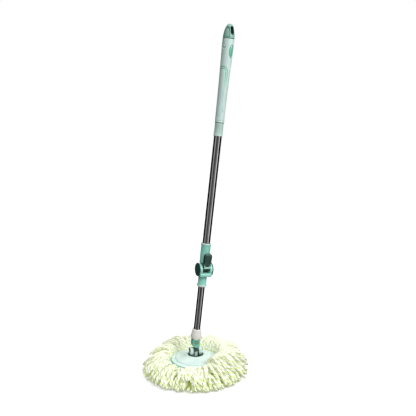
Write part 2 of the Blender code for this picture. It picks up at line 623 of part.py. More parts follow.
def guide_bush(carrier):
    """A bush in the inner tube's mouth; it runs in the outer tube and holds the drive nut."""
    head_r = OUTER_BORE_R - RUNNING_GAP
    spigot_r = INNER_BORE_R - RUNNING_GAP
    seat = INNER_TUBE_TOP + GAP
    top = seat + BUSH_HEAD_HEIGHT
    well_r = NUT_R + RUNNING_GAP
    bore_r = ROD_SWEEP_R + 2 * GAP
    bottom = NUT_BASE - GAP - BUSH_LEDGE
    outline = [(well_r, top), (head_r, top), (head_r, seat), (spigot_r, seat), (spigot_r, bottom),
               (bore_r, bottom), (bore_r, NUT_BASE - GAP), (well_r, NUT_BASE - GAP)]
    screw(add_piece(profile_mesh("guide_bush", outline), carrier, plastic("guide_bush", BLACK)))
    ring_base = NUT_TOP + GAP
    ring = [(bore_r, ring_base), (well_r - GAP, ring_base), (well_r - GAP, ring_base + RETAINER_HEIGHT),
            (bore_r, ring_base + RETAINER_HEIGHT)]
    screw(add_piece(profile_mesh("nut_retainer", ring), carrier, steel("nut_retainer")))


def drive_nut(nut_frame):
    """The nut: its twisted slot turns it as the rod slides through."""
    nut = cylinder_mesh("drive_nut", NUT_R, NUT_LENGTH, ROUND_STEPS)
    piece = add_piece(nut, nut_frame, plastic("drive_nut", CREAM), (0, 0, NUT_BASE + NUT_LENGTH / 2))
    slot = twisted_bar_mesh("nut_slot", ROD_WIDTH + 2 * RUNNING_GAP, ROD_THICKNESS + 2 * RUNNING_GAP,
                            NUT_BASE - 0.006, NUT_TOP + 0.004)
    boolean(piece, "DIFFERENCE", add_cutter(slot, nut_frame))


def twisted_rod(upper):
    """The twisted flat rod, its stop below, and its anchor and cross pin in the outer tube."""
    rod = add_piece(twisted_bar_mesh("twisted_rod", ROD_WIDTH, ROD_THICKNESS, ROD_BOTTOM,
                                     ANCHOR_BASE + ANCHOR_LENGTH - 0.002), upper,
                    steel("twisted_rod"))
    stop = add_piece(cylinder_mesh("rod_stop", ROD_STOP_R, ROD_STOP_LENGTH, ROUND_STEPS), upper,
                     plastic("rod_stop", BLACK), (0, 0, ROD_BOTTOM + ROD_STOP_LENGTH / 2 + 0.002))
    anchor_r = OUTER_BORE_R - GAP
    anchor = add_piece(cylinder_mesh("rod_anchor", anchor_r, ANCHOR_LENGTH, ROUND_STEPS), upper,
                       plastic("rod_anchor", CREAM), (0, 0, ROD_PIN_HEIGHT))
    slot = twisted_bar_mesh("rod_seat", ROD_WIDTH + 2 * GAP, ROD_THICKNESS + 2 * GAP,
                            ROD_BOTTOM - 0.010, ANCHOR_BASE + ANCHOR_LENGTH + 0.010)
    seat = add_cutter(slot, upper)
    boolean(stop, "DIFFERENCE", seat)
    pin_hole = side_hole("rod_pin_hole", ROD_PIN_R + GAP, upper, (0, 0, ROD_PIN_HEIGHT), ALONG_X)
    boolean(anchor, "DIFFERENCE", seat, pin_hole)
    boolean(rod, "DIFFERENCE", pin_hole)
    pin = cylinder_mesh("rod_pin", ROD_PIN_R, 2 * OUTER_TUBE_R - GAP)
    add_piece(pin, upper, steel("rod_pin"), (0, 0, ROD_PIN_HEIGHT), ALONG_X)
    return pin_hole


def outer_tube(upper, pin_hole):
    outline = [(OUTER_BORE_R, OUTER_TUBE_BASE), (OUTER_TUBE_R, OUTER_TUBE_BASE),
               (OUTER_TUBE_R, OUTER_TUBE_TOP), (OUTER_BORE_R, OUTER_TUBE_TOP)]
    tube = screw(add_piece(profile_mesh("outer_tube", outline), upper, steel("outer_tube")))
    boolean(tube, "DIFFERENCE", pin_hole)


# ---------------------------------------------------------------- lock coupling

def lock_sleeve(lock):
    """The upper sleeve: the outer tube stands on the ledge inside it."""
    tube_r = OUTER_TUBE_R + GAP
    ledge_r = INNER_TUBE_R + RUNNING_GAP
    outline = [
        (tube_r, SLEEVE_TOP), (SLEEVE_R - 0.0006, SLEEVE_TOP), (SLEEVE_R + 0.0004, SLEEVE_TOP - 0.0012),
        (SLEEVE_R + 0.0004, SLEEVE_TOP - 0.0040), (SLEEVE_R, SLEEVE_TOP - 0.0055),
        (SLEEVE_R, SLEEVE_BASE + 0.0015), (SLEEVE_R - 0.0012, SLEEVE_BASE), (ledge_r, SLEEVE_BASE),
        (ledge_r, OUTER_TUBE_BASE - GAP), (tube_r, OUTER_TUBE_BASE - GAP)]
    return screw(add_piece(profile_mesh("lock_sleeve", outline), lock, plastic("lock_sleeve", MINT)))


def lock_yoke(lock):
    """The lower half: a sleeve on the inner tube, a base, two round cheeks and a rear spine."""
    bore_r = INNER_TUBE_R + RUNNING_GAP
    overlap = 0.004
    outline = [
        (0, LOCK_BASE), (LOWER_SLEEVE_R + 0.0012, LOCK_BASE),
        (LOWER_SLEEVE_R + 0.0016, LOCK_BASE + 0.0012), (LOWER_SLEEVE_R + 0.0016, LOCK_BASE + 0.0036),
        (LOWER_SLEEVE_R, LOCK_BASE + LIP_HEIGHT), (LOWER_SLEEVE_R, YOKE_BASE_BOTTOM + overlap),
        (0, YOKE_BASE_BOTTOM + overlap)]
    yoke = screw(add_piece(profile_mesh("lock_yoke", outline), lock, plastic("lock_yoke", MINT)))
    half_base = CHEEK_OUTER - 0.0006
    base = box_mesh("yoke_base", (-half_base, -YOKE_FRONT, YOKE_BASE_BOTTOM),
                    (half_base, YOKE_BACK, YOKE_BASE_TOP), edge_r=0.0045)
    spine_inner = SLEEVE_R - 0.002
    spine = box_mesh("yoke_spine", (-SPINE_HALF_WIDTH, spine_inner, YOKE_BASE_BOTTOM + 0.006),
                     (SPINE_HALF_WIDTH, SLEEVE_R + GAP + SPINE_THICKNESS, SLEEVE_BASE + SPINE_REACH))
    boolean(yoke, "UNION", add_cutter(base, lock), add_cutter(spine, lock))
    for side in (-1, 1):
        centre = (side * (CHEEK_INNER + CHEEK_THICKNESS / 2), -CHEEK_FORWARD, CHEEK_HEIGHT)
        cheek = cylinder_mesh(f"yoke_cheek_{side}", CHEEK_R, CHEEK_THICKNESS, ROUND_STEPS)
        boolean(yoke, "UNION", add_cutter(cheek, lock, centre, ALONG_X))
    bore = cylinder_mesh("yoke_bore", bore_r, 0.12, ROUND_STEPS)
    relief = cylinder_mesh("yoke_sleeve_relief", SLEEVE_R + 2 * GAP, 0.08, ROUND_STEPS)
    boolean(yoke, "DIFFERENCE", add_cutter(bore, lock, (0, 0, YOKE_BASE_BOTTOM)),
            add_cutter(relief, lock, (0, 0, SLEEVE_BASE - GAP + 0.04)),
            side_hole("yoke_lever_hole", LEVER_PIN_R + GAP, lock,
                      (0, -LEVER_PIN_FORWARD, LEVER_PIN_HEIGHT), ALONG_X))
    return yoke


def lock_trim(lock):
    """The lever's pin and the dark cap on each cheek."""
    pin = cylinder_mesh("lever_pin", LEVER_PIN_R, 2 * CHEEK_OUTER - 0.001)
    add_piece(pin, lock, steel("lever_pin"), (0, -LEVER_PIN_FORWARD, LEVER_PIN_HEIGHT), ALONG_X)
    for side, name in ((-1, "side_cap_left"), (1, "side_cap_right")):
        outline = [(0, SIDE_CAP_THICKNESS), (SIDE_CAP_R * 0.72, SIDE_CAP_THICKNESS * 0.9),
                   (SIDE_CAP_R * 0.94, SIDE_CAP_THICKNESS * 0.6), (SIDE_CAP_R, 0.0004),
                   (SIDE_CAP_R, 0), (0, 0)]
        location = (side * (CHEEK_OUTER + GAP), -CHEEK_FORWARD, CHEEK_HEIGHT)
        cap = add_piece(profile_mesh(name, outline), lock, plastic(name, DARK_GREEN), location,
                        (0, side * math.pi / 2, 0))
        screw(cap)


def lock_screws(lock, yoke, sleeve):
    """Two screws from behind tie the yoke's spine to the upper sleeve."""
    face = SLEEVE_R + GAP + SPINE_THICKNESS
    for name, above in LOCK_SCREW_HEIGHTS.items():
        height = SLEEVE_BASE + above
        small_screw(name, lock, (0, face, height), (-math.pi / 2, 0, 0), shank_length=0.0054)
        hole = side_hole(name + "_hole", SCREW_HOLE_R, lock, (0, face, height), ALONG_Y, 0.0122)
        boolean(yoke, "DIFFERENCE", hole)
        boolean(sleeve, "DIFFERENCE", hole)


def lock_lever(lever):
    """The cam lever: its barrel turns on the lever pin, and its blade lies on the sleeve."""
    side = [
        *arc(-CAM_OFFSET, 0, LEVER_BARREL_R, 130, 375, 14),
        (0.0072, 0.012), (0.0085, 0.026), (0.0103, 0.040), (0.0098, LEVER_LENGTH - 0.0040),
        (0.0076, LEVER_LENGTH - 0.0008), (0.0042, LEVER_LENGTH), (0.0012, LEVER_LENGTH - 0.0030),
        (LEVER_BACK + 0.0010, 0.040), (LEVER_BACK, 0.022), (LEVER_BACK - 0.0005, 0.0095)]
    blade = outline_mesh("lock_lever", [(-out, up) for out, up in side], LEVER_WIDTH)
    piece = add_piece(blade, lever, plastic("lock_lever", DARK_GREEN), (0, 0, 0), SIDE_VIEW)
    half = LEVER_WIDTH / 2
    bend = half - LEVER_TOP_R
    crown = LEVER_LENGTH - LEVER_TOP_R
    front = [(-half - 0.001, -2 * LEVER_BARREL_R), (half + 0.001, -2 * LEVER_BARREL_R),
             (half + 0.001, crown - 0.006), *arc(bend, crown, LEVER_TOP_R, 0, 90, 6),
             *arc(-bend, crown, LEVER_TOP_R, 90, 180, 6), (-half - 0.001, crown - 0.006)]
    boolean(piece, "INTERSECT",
            add_cutter(outline_mesh("lever_front", front, 0.06), lever, (0, 0, 0), FRONT_VIEW))
    boolean(piece, "DIFFERENCE",
            side_hole("lever_pin_hole", LEVER_PIN_R + GAP, lever, (0, 0, 0), ALONG_X))


def clamp_shoe(shoe):
    """The shoe that the lever's barrel presses against the inner tube."""
    block = box_mesh("clamp_shoe", (-SHOE_HALF_WIDTH, -SHOE_FRONT, LEVER_PIN_HEIGHT - SHOE_HALF_HEIGHT),
                     (SHOE_HALF_WIDTH, -INNER_TUBE_R / 2, LEVER_PIN_HEIGHT + SHOE_HALF_HEIGHT))
    piece = add_piece(block, shoe, plastic("clamp_shoe", BLACK))
    relief = cylinder_mesh("shoe_relief", INNER_TUBE_R + GAP, 0.03, ROUND_STEPS)
    boolean(piece, "DIFFERENCE", add_cutter(relief, shoe, (0, 0, LEVER_PIN_HEIGHT)))


# ---------------------------------------------------------------- grip

def grip_radius(height):
    share = (height - GRIP_BASE) / GRIP_LENGTH
    return GRIP_R_BOTTOM + (GRIP_R_TOP - GRIP_R_BOTTOM) * max(0.0, share) ** 1.6


def grip_ferrule(upper):
    """The short lower sleeve of the grip and the dark ring between the two."""
    inner_r = OUTER_TUBE_R + GAP
    ring_base = GRIP_BASE - GAP - GROOVE_RING_HEIGHT
    top = ring_base - GAP
    outline = [(inner_r, top), (FERRULE_R - 0.0006, top), (FERRULE_R, FERRULE_BASE + 0.0012),
               (FERRULE_R - 0.0006, FERRULE_BASE), (inner_r, FERRULE_BASE)]
    screw(add_piece(profile_mesh("grip_ferrule", outline), upper, plastic("grip_ferrule", SAGE)))
    ring_r = GRIP_R_BOTTOM - 0.0009
    ring = [(inner_r, ring_base), (ring_r, ring_base), (ring_r, ring_base + GROOVE_RING_HEIGHT),
            (inner_r, ring_base + GROOVE_RING_HEIGHT)]
    screw(add_piece(profile_mesh("groove_ring", ring), upper, plastic("groove_ring", DARK_GREEN)))


def grip_body(upper):
    """The tapered grip, with an oval pocket at the front for the inset."""
    inner_r = OUTER_TUBE_R + GAP
    ledge = OUTER_TUBE_TOP + GAP
    heights = [GRIP_BASE + GRIP_LENGTH * ring / GRIP_RINGS for ring in range(GRIP_RINGS + 1)]
    outline = [(grip_radius(height), height) for height in heights]
    outline += [(GRIP_THROAT_R, GRIP_TOP), (GRIP_THROAT_R, ledge), (inner_r, ledge),
                (inner_r, GRIP_BASE)]
    grip = screw(add_piece(profile_mesh("grip_body", outline), upper, plastic("grip_body", PALE_MINT)))
    boolean(grip, "DIFFERENCE", oval_prism("inset_pocket", upper, 0.0))
    small_screw("grip_screw", upper, (0, grip_radius(GRIP_BASE) - 0.0002, GRIP_BASE + GRIP_SCREW_HEIGHT),
                (-math.pi / 2, 0, 0), shank_length=0.0012)
    boolean(grip, "DIFFERENCE",
            side_hole("grip_screw_hole", SCREW_HOLE_R, upper,
                      (0, grip_radius(GRIP_BASE), GRIP_BASE + GRIP_SCREW_HEIGHT), ALONG_Y, 0.008))


def oval_prism(name, upper, inset):
    """An oval column that reaches in from the grip's front to the pocket's floor."""
    half_width = INSET_WIDTH / 2 - inset
    half_height = INSET_HEIGHT / 2 - inset
    oval = [(half_width * x, half_height * y) for x, y in arc(0, 0, 1, 0, 345, 23)]
    floor = grip_radius(INSET_CENTRE) - INSET_DEPTH + inset
    depth = 0.02
    return add_cutter(outline_mesh(name, oval, depth), upper,
                      (0, -floor - depth / 2, INSET_CENTRE), FRONT_VIEW)


def grip_inset(upper):
    """The dark oval inset that follows the grip's surface."""
    reach = INSET_HEIGHT * 0.6
    heights = [INSET_CENTRE - reach, INSET_CENTRE, INSET_CENTRE + reach]
    outline = [(grip_radius(height) + GAP, height) for height in heights]
    outline = [(0, heights[0]), *outline, (0, heights[-1])]
    inset = add_piece(profile_mesh("grip_inset", outline), upper, plastic("grip_inset", TEAL))
    boolean(screw(inset), "INTERSECT", oval_prism("inset_outline", upper, GAP))


def end_cap(upper):
    """The domed cap, with a tall hole to hang the mop by and a spigot in the grip's throat."""
    base = GRIP_TOP + GAP
    spigot_r = GRIP_THROAT_R - GAP
    outline = [(0, base - CAP_SPIGOT_LENGTH), (spigot_r, base - CAP_SPIGOT_LENGTH), (spigot_r, base)]
    for ring in range(CAP_RINGS + 1):
        share = math.sin(math.pi / 2 * ring / CAP_RINGS)
        radius = CAP_R * max(0.0, 1 - share ** 1.7) ** (1 / 2.4)
        outline.append((radius, base + CAP_HEIGHT * share))
    cap = screw(add_piece(profile_mesh("end_cap", outline), upper, plastic("end_cap", SAGE)))
    end_r = HANGING_HOLE_WIDTH / 2
    rise = HANGING_HOLE_HEIGHT / 2 - end_r
    hole = [*arc(0, rise, end_r, 0, 180, 10), *arc(0, -rise, end_r, 180, 360, 10)]
    boolean(cap, "DIFFERENCE",
            add_cutter(outline_mesh("hanging_hole", hole, 4 * CAP_R), upper,
                       (0, 0, GRIP_TOP + HANGING_HOLE_ABOVE_GRIP), FRONT_VIEW))


def build():
    for obj in list(bpy.data.objects):
        bpy.data.objects.remove(obj, do_unlink=True)
    make_collection("spin_mop")
    make_collection("spin_mop_cutters")

    lean_axis = Vector((math.sin(LEAN) * math.cos(LEAN_HEADING),
                        math.sin(LEAN) * math.sin(LEAN_HEADING), math.cos(LEAN)))
    lean_axis.rotate(Matrix.Rotation(-HUB_YAW, 3, "Z"))
    rest_sway = math.asin(lean_axis.x)
    rest_tilt = math.atan2(-lean_axis.y, lean_axis.z)

    head = make_frame("head_frame", None)
    hub = make_frame("hub_frame", head, rotation=(0, 0, HUB_YAW))
    tilt = make_frame("tilt_axis", hub, (0, 0, TILT_PIN_Z), (rest_tilt, 0, 0))
    sway = make_frame("sway_axis", tilt, (0, 0, PIN_SPACING), (0, rest_sway, 0))
    carrier = make_frame("spin_axis", sway, rotation=(0, 0, -HUB_YAW))
    nut = make_frame("nut_axis", carrier)
    upper = make_frame("telescope_axis", carrier)
    lock = make_frame("lock_frame", upper, rotation=(0, 0, LOCK_YAW))
    lever = make_frame("lever_axis", lock, (0, -LEVER_PIN_FORWARD, LEVER_PIN_HEIGHT))
    shoe = make_frame("shoe_axis", lock)

    mop_strands(head)
    strand_ring(head)
    plate = head_plate(head)
    cup = hub_cup(head)
    bracket = hub_bracket(hub)
    hub_screws(hub, (bracket, cup, plate))
    tilt_pin(hub)

    cross_block(tilt)
    fork = neck_fork(sway)
    collar = neck_collar(sway)
    tube = inner_tube(sway)
    collar_screw(sway, (collar, tube, fork))

    guide_bush(carrier)
    drive_nut(nut)
    pin_hole = twisted_rod(upper)
    outer_tube(upper, pin_hole)

    sleeve = lock_sleeve(lock)
    yoke = lock_yoke(lock)
    lock_trim(lock)
    lock_screws(lock, yoke, sleeve)
    lock_lever(lever)
    clamp_shoe(shoe)

    grip_ferrule(upper)
    grip_body(upper)
    grip_inset(upper)
    end_cap(upper)


build()
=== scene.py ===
"""Finishes the packed spin mop: yarn strands, moulded plastics, polished tubes and a studio stage.

The file is laid out as an add-on: settings, one operator for each group of pieces, one for the
stage, and a panel that lists them. Lengths are in metres, in the frame of the packed model.
"""

import json
import math
import random

import bmesh
import bpy
from bpy.props import FloatProperty, FloatVectorProperty, IntProperty, PointerProperty
from mathutils import Matrix, Vector, noise

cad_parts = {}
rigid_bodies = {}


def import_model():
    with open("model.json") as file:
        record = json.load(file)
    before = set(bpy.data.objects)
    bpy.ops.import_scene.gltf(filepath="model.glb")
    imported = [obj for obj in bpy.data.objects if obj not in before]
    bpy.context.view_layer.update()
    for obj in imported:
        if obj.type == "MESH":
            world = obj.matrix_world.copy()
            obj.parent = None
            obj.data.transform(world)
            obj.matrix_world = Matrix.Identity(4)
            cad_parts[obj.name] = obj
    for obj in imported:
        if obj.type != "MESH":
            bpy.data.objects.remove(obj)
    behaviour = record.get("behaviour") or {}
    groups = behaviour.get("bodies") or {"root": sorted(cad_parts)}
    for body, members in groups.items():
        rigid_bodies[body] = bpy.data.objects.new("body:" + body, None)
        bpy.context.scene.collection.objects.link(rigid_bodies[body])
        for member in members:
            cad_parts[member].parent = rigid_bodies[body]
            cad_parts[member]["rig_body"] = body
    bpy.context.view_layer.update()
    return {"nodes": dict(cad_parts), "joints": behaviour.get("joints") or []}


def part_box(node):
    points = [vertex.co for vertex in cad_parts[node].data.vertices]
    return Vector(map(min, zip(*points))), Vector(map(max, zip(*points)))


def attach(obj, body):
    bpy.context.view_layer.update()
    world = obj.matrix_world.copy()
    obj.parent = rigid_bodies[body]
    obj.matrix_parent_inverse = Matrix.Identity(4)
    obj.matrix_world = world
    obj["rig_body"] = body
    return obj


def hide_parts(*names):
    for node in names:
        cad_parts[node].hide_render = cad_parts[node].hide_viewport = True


bl_info = {
    "name": "Spin mop finish",
    "version": (1, 0, 0),
    "blender": (4, 5, 0),
    "location": "3D Viewport > Sidebar > Spin Mop",
    "description": "Builds the strands, shells, tubes and finishes of a spin mop round its packed frame",
    "category": "Object",
}

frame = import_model()
NODES = frame["nodes"]
JOINTS = {joint["name"]: joint for joint in frame["joints"]}

FINE_STEPS = 96
ROUND_STEPS = 64
FOLD = math.radians(35)                 # an edge that folds more than this is rounded
GRIP_TURN = math.radians(17)            # the grip's front, from the lock's front
SIDE_PANEL = math.radians(72)           # middle of a grip panel, from the grip's front
PANEL_HALF_ANGLE = math.radians(57)
GRIP_TAPER_POWER = 1.6
# painted shade: from here round to the back, the grip and the cap are tinted darker
SHADED_BACK_FROM = math.radians(94)            # the grip's green back, from its front
SHADED_BACK_TO = math.radians(120)


# ---------------------------------------------------------------- places

def axes_matrix(origin, x_axis, z_axis):
    """A frame from its X axis and its Z axis; X gives way where the two aren't square."""
    z_axis = Vector(z_axis).normalized()
    y_axis = z_axis.cross(Vector(x_axis)).normalized()
    x_axis = y_axis.cross(z_axis)
    place = Matrix((x_axis, y_axis, z_axis)).transposed().to_4x4()
    place.translation = Vector(origin)
    return place


TILT_PIN = Vector(JOINTS["neck_tilt"]["pos_m"])
SWAY_PIN = Vector(JOINTS["neck_sway"]["pos_m"])
POLE_AXIS = Vector(JOINTS["telescope"]["axis"])
HEAD = Matrix.Identity(4)
NECK = axes_matrix(SWAY_PIN, Vector(JOINTS["neck_sway"]["axis"]).cross(POLE_AXIS), POLE_AXIS)
LOCK = axes_matrix(SWAY_PIN, JOINTS["lever_open"]["axis"], POLE_AXIS)
GRIP = LOCK @ Matrix.Rotation(GRIP_TURN, 4, "Z")


def box_in(node, place):
    """Lowest and highest corner of a node, measured along the axes of a frame."""
    inverse = place.inverted()
    points = [inverse @ vertex.co for vertex in NODES[node].data.vertices]
    low = Vector([min(point[axis] for point in points) for axis in range(3)])
    high = Vector([max(point[axis] for point in points) for axis in range(3)])
    return low, high


def smooth(low, high, value):
    share = min(1.0, max(0.0, (value - low) / (high - low)))
    return share * share * (3 - 2 * share)


def bump(distance, width):
    return math.exp(-(distance / width) ** 2)


# ---------------------------------------------------------------- mesh tools

def near(radius, height, *steps):
    """Outline points given as steps from one point, in tenths of a millimetre."""
    return [(radius + 0.0001 * out, height + 0.0001 * up) for out, up in steps]


def new_object(name, data):
    item = bpy.data.objects.new(name, data)
    bpy.context.scene.collection.objects.link(item)
    return item


def new_mesh(name, bm):
    """Turn a working mesh into a stored one; the working mesh is used up."""
    mesh = bpy.data.meshes.new(name)
    bm.to_mesh(mesh)
    bm.free()
    return mesh


def turned(outline, steps=ROUND_STEPS):
    """Spin a closed or axis-to-axis outline of (radius, height) about Z."""
    bm = bmesh.new()
    verts = [bm.verts.new((radius, 0, height)) for radius, height in outline]
    pairs = list(zip(verts, verts[1:]))
    if outline[0][0] > 0 and outline[-1][0] > 0:
        pairs.append((verts[-1], verts[0]))
    edges = [bm.edges.new(pair) for pair in pairs]
    bmesh.ops.spin(bm, geom=verts + edges, cent=(0, 0, 0), axis=(0, 0, 1), angle=2 * math.pi,
                   steps=steps, use_merge=True)
    bmesh.ops.remove_doubles(bm, verts=bm.verts, dist=1e-6)
    bmesh.ops.recalc_face_normals(bm, faces=bm.faces)
    return bm


def block(low, high):
    bm = bmesh.new()
    bmesh.ops.create_cube(bm, size=1.0)
    bmesh.ops.scale(bm, vec=Vector(high) - Vector(low), verts=bm.verts)
    bmesh.ops.translate(bm, vec=(Vector(low) + Vector(high)) / 2, verts=bm.verts)
    return bm


def round_edges(bm, width, segments):
    """Round every edge that folds more than FOLD."""
    edges = [edge for edge in bm.edges if edge.is_manifold and edge.calc_face_angle(0) > FOLD]
    bmesh.ops.bevel(bm, geom=edges, offset=width, offset_type="OFFSET", segments=segments,
                    profile=0.5, material=-1, affect="EDGES", clamp_overlap=True)


def softened(node, width, segments):
    """A copy of a node's mesh with its flat facets joined and its edges rounded."""
    bm = bmesh.new()
    bm.from_mesh(NODES[node].data)
    bmesh.ops.remove_doubles(bm, verts=bm.verts, dist=1e-5)
    bmesh.ops.dissolve_limit(bm, angle_limit=math.radians(1), verts=bm.verts, edges=bm.edges)
    round_edges(bm, width, segments)
    return bm


def cut(bm, cutter):
    """Cut a closed mesh with another one; both are used up."""
    holders = [new_object("cut_piece", new_mesh("cut_piece", bm)),
               new_object("cut_tool", new_mesh("cut_tool", cutter))]
    modifier = holders[0].modifiers.new("cut", "BOOLEAN")
    modifier.operation = "DIFFERENCE"
    modifier.solver = "EXACT"
    modifier.object = holders[1]
    evaluated = holders[0].evaluated_get(bpy.context.evaluated_depsgraph_get())
    result = bmesh.new()
    result.from_mesh(evaluated.to_mesh())
    evaluated.to_mesh_clear()
    for holder in holders:
        mesh = holder.data
        bpy.data.objects.remove(holder)
        bpy.data.meshes.remove(mesh)
    return result


def wrap_uv(bm):
    """Lay the UV map round Z: u runs round the piece and v along it, both in metres."""
    layer = bm.loops.layers.uv.verify()
    reach = max(vert.co.xy.length for vert in bm.verts)
    for face in bm.faces:
        middle = face.calc_center_median()
        heading = math.atan2(middle.y, middle.x)
        for loop in face.loops:
            point = loop.vert.co
            turn = math.atan2(point.y, point.x) if point.xy.length > 1e-7 else heading
            turn = heading + math.remainder(turn - heading, 2 * math.pi)
            loop[layer].uv = (turn * reach, point.z + reach - point.xy.length)


def add_piece(name, bm, place, material, body, slot, *nodes, sharp=35, wrapped=False):
    """Finish a mesh as a piece that rides on a body and stands for the named nodes."""
    if wrapped:
        wrap_uv(bm)
    bmesh.ops.transform(bm, matrix=place, verts=bm.verts)
    mesh = new_mesh(name, bm)
    mesh.materials.append(material)
    mesh.shade_smooth()
    mesh.set_sharp_from_angle(angle=math.radians(sharp))
    piece = new_object(name, mesh)
    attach(piece, body)
    if nodes:
        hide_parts(*nodes)
    return piece


def soften_node(node, width, material, slot, segments=2):
    """Stand a softened copy in for a node."""
    body = NODES[node]["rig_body"]
    return add_piece(node + "_shell", softened(node, width, segments), HEAD, material, body, slot,
                     node)


def finish_nodes(material, *nodes):
    """Give nodes that keep their own mesh a better material."""
    for node in nodes:
        for holder in NODES[node].material_slots:
            holder.material = material


# ---------------------------------------------------------------- shader tools

def plug(tree, node, inputs):
    """Fill a node's inputs: a socket is linked, and anything else is set as the value."""
    for key, value in inputs.items():
        if isinstance(value, bpy.types.NodeSocket):
            tree.links.new(value, node.inputs[key])
        else:
            node.inputs[key].default_value = value


def put(tree, kind, inputs=None, **settings):
    node = tree.nodes.new(kind)
    for key, value in settings.items():
        setattr(node, key, value)
    plug(tree, node, inputs or {})
    return node


def maths(tree, operation, first, second=0.5, clamp=False):
    return put(tree, "ShaderNodeMath", {0: first, 1: second}, operation=operation,
               use_clamp=clamp).outputs[0]


def remap(tree, value, from_low, from_high, to_low=0.0, to_high=1.0):
    return put(tree, "ShaderNodeMapRange", {"Value": value, "From Min": from_low, "From Max": from_high,
                                            "To Min": to_low, "To Max": to_high}).outputs["Result"]


def times(tree, first, second, clamp=False):
    return maths(tree, "MULTIPLY", first, second, clamp)


def mixed(tree, factor, first, second):
    """Blend two colours; each is a socket or three numbers."""
    ends = [end if isinstance(end, bpy.types.NodeSocket) else (*end, 1.0) for end in (first, second)]
    return put(tree, "ShaderNodeMix", {0: factor, 6: ends[0], 7: ends[1]}, data_type="RGBA").outputs[2]


def grain_of(tree, place, scale, detail, roughness=0.5):
    return put(tree, "ShaderNodeTexNoise", {"Vector": place, "Scale": scale, "Detail": detail,
                                            "Roughness": roughness}).outputs["Fac"]


def place_on(tree, kind="Object"):
    return put(tree, "ShaderNodeTexCoord").outputs[kind]


def parts_of(tree, vector):
    return put(tree, "ShaderNodeSeparateXYZ", {"Vector": vector}).outputs


def stored(tree, name):
    return put(tree, "ShaderNodeAttribute", attribute_name=name).outputs["Fac"]


def dress(tree, shader, colour, height, distance, strength, rough=None):
    """Link a colour, a relief and a roughness to a shader."""
    relief = put(tree, "ShaderNodeBump", {"Height": height, "Distance": distance, "Strength": strength})
    plug(tree, shader, {"Base Color": colour, "Normal": relief.outputs["Normal"]})
    if rough:
        tree.links.new(rough, shader.inputs["Roughness"])


def shader_group(name, inputs, outputs):
    """A new node group with float inputs, each with its default, and float outputs."""
    tree = bpy.data.node_groups.new(name, "ShaderNodeTree")
    for label, default in inputs.items():
        socket = tree.interface.new_socket(label, in_out="INPUT", socket_type="NodeSocketFloat")
        socket.default_value = default
    for label in outputs:
        tree.interface.new_socket(label, in_out="OUTPUT", socket_type="NodeSocketFloat")
    return tree, tree.nodes.new("NodeGroupInput").outputs, tree.nodes.new("NodeGroupOutput")


def mould_grain_group():
    """Fine grain of a moulded skin, and the slow change of tone across it."""
    tree, given, made = shader_group("Mould grain", {"Scale": 900.0, "Flow": 22.0}, ("Grain", "Tone"))
    place = place_on(tree)
    flow = grain_of(tree, place, given["Flow"], 4.0, 0.6)
    plug(tree, made, {"Grain": grain_of(tree, place, given["Scale"], 3.0, 0.65),
                      "Tone": remap(tree, flow, 0.3, 0.7)})
    return tree


def edge_wear_group():
    """Rubbed edges: where the surface folds outwards, broken up by noise."""
    tree, given, made = shader_group("Edge wear", {"Start": 0.53, "Full": 0.62}, ("Worn",))
    folded = put(tree, "ShaderNodeNewGeometry").outputs["Pointiness"]
    fold = remap(tree, folded, given["Start"], given["Full"])
    patches = grain_of(tree, place_on(tree), 160.0, 4.0)
    plug(tree, made, {"Worn": times(tree, fold, remap(tree, patches, 0.35, 0.6), True)})
    return tree


def dust_group():
    """Fine dust on faces that look up."""
    tree, given, made = shader_group("Settled dust", {"Amount": 0.3}, ("Dust",))
    up = parts_of(tree, put(tree, "ShaderNodeNewGeometry").outputs["Normal"])["Z"]
    specks = grain_of(tree, place_on(tree), 420.0, 6.0, 0.8)
    speckled = times(tree, remap(tree, up, 0.3, 1.0), remap(tree, specks, 0.45, 0.75))
    plug(tree, made, {"Dust": times(tree, speckled, given["Amount"], True)})
    return tree


def brushing_group():
    """Lengthwise draw lines of a tube and slow smears along it, on a UV map in metres."""
    tree, given, made = shader_group("Draw lines", {"Fineness": 2600.0, "Smear": 170.0},
                                     ("Lines", "Smears"))
    split = parts_of(tree, place_on(tree, "UV"))
    fine, slow = (put(tree, "ShaderNodeCombineXYZ", {"X": times(tree, split["X"], given[across]),
                                                     "Y": times(tree, split["Y"], along)}).outputs[0]
                  for across, along in (("Fineness", 14.0), ("Smear", 9.0)))
    smears = grain_of(tree, slow, 1.0, 5.0, 0.7)
    plug(tree, made, {"Lines": grain_of(tree, fine, 1.0, 2.0), "Smears": remap(tree, smears, 0.3, 0.7)})
    return tree


def yarn_group():
    """Two plies twisted together: u runs round a strand from 0 to 1, v along it from 0 to 1."""
    tree, given, made = shader_group("Twisted yarn", {"Turns": 8.0, "Lime share": 0.3},
                                     ("Lime", "Ply", "Fluff"))
    place = place_on(tree)
    split = parts_of(tree, place_on(tree, "UV"))
    wander = remap(tree, grain_of(tree, place, 90.0, 2.0), 0.3, 0.7, -0.12, 0.12)
    swayed = maths(tree, "ADD", times(tree, split["Y"], given["Turns"]), wander)
    phase = maths(tree, "FRACT", maths(tree, "ADD", times(tree, split["X"], 2.0), swayed))
    from_lime = maths(tree, "ABSOLUTE", maths(tree, "SUBTRACT", phase, 0.5))
    lime_edge = times(tree, given["Lime share"], 0.5)
    lime = times(tree, maths(tree, "SUBTRACT", lime_edge, from_lime), 8.0, True)
    ply = maths(tree, "ABSOLUTE", maths(tree, "SINE", times(tree, phase, 2 * math.pi)))
    plug(tree, made, {"Lime": lime, "Ply": ply, "Fluff": grain_of(tree, place, 1500.0, 3.0, 0.7)})
    return tree


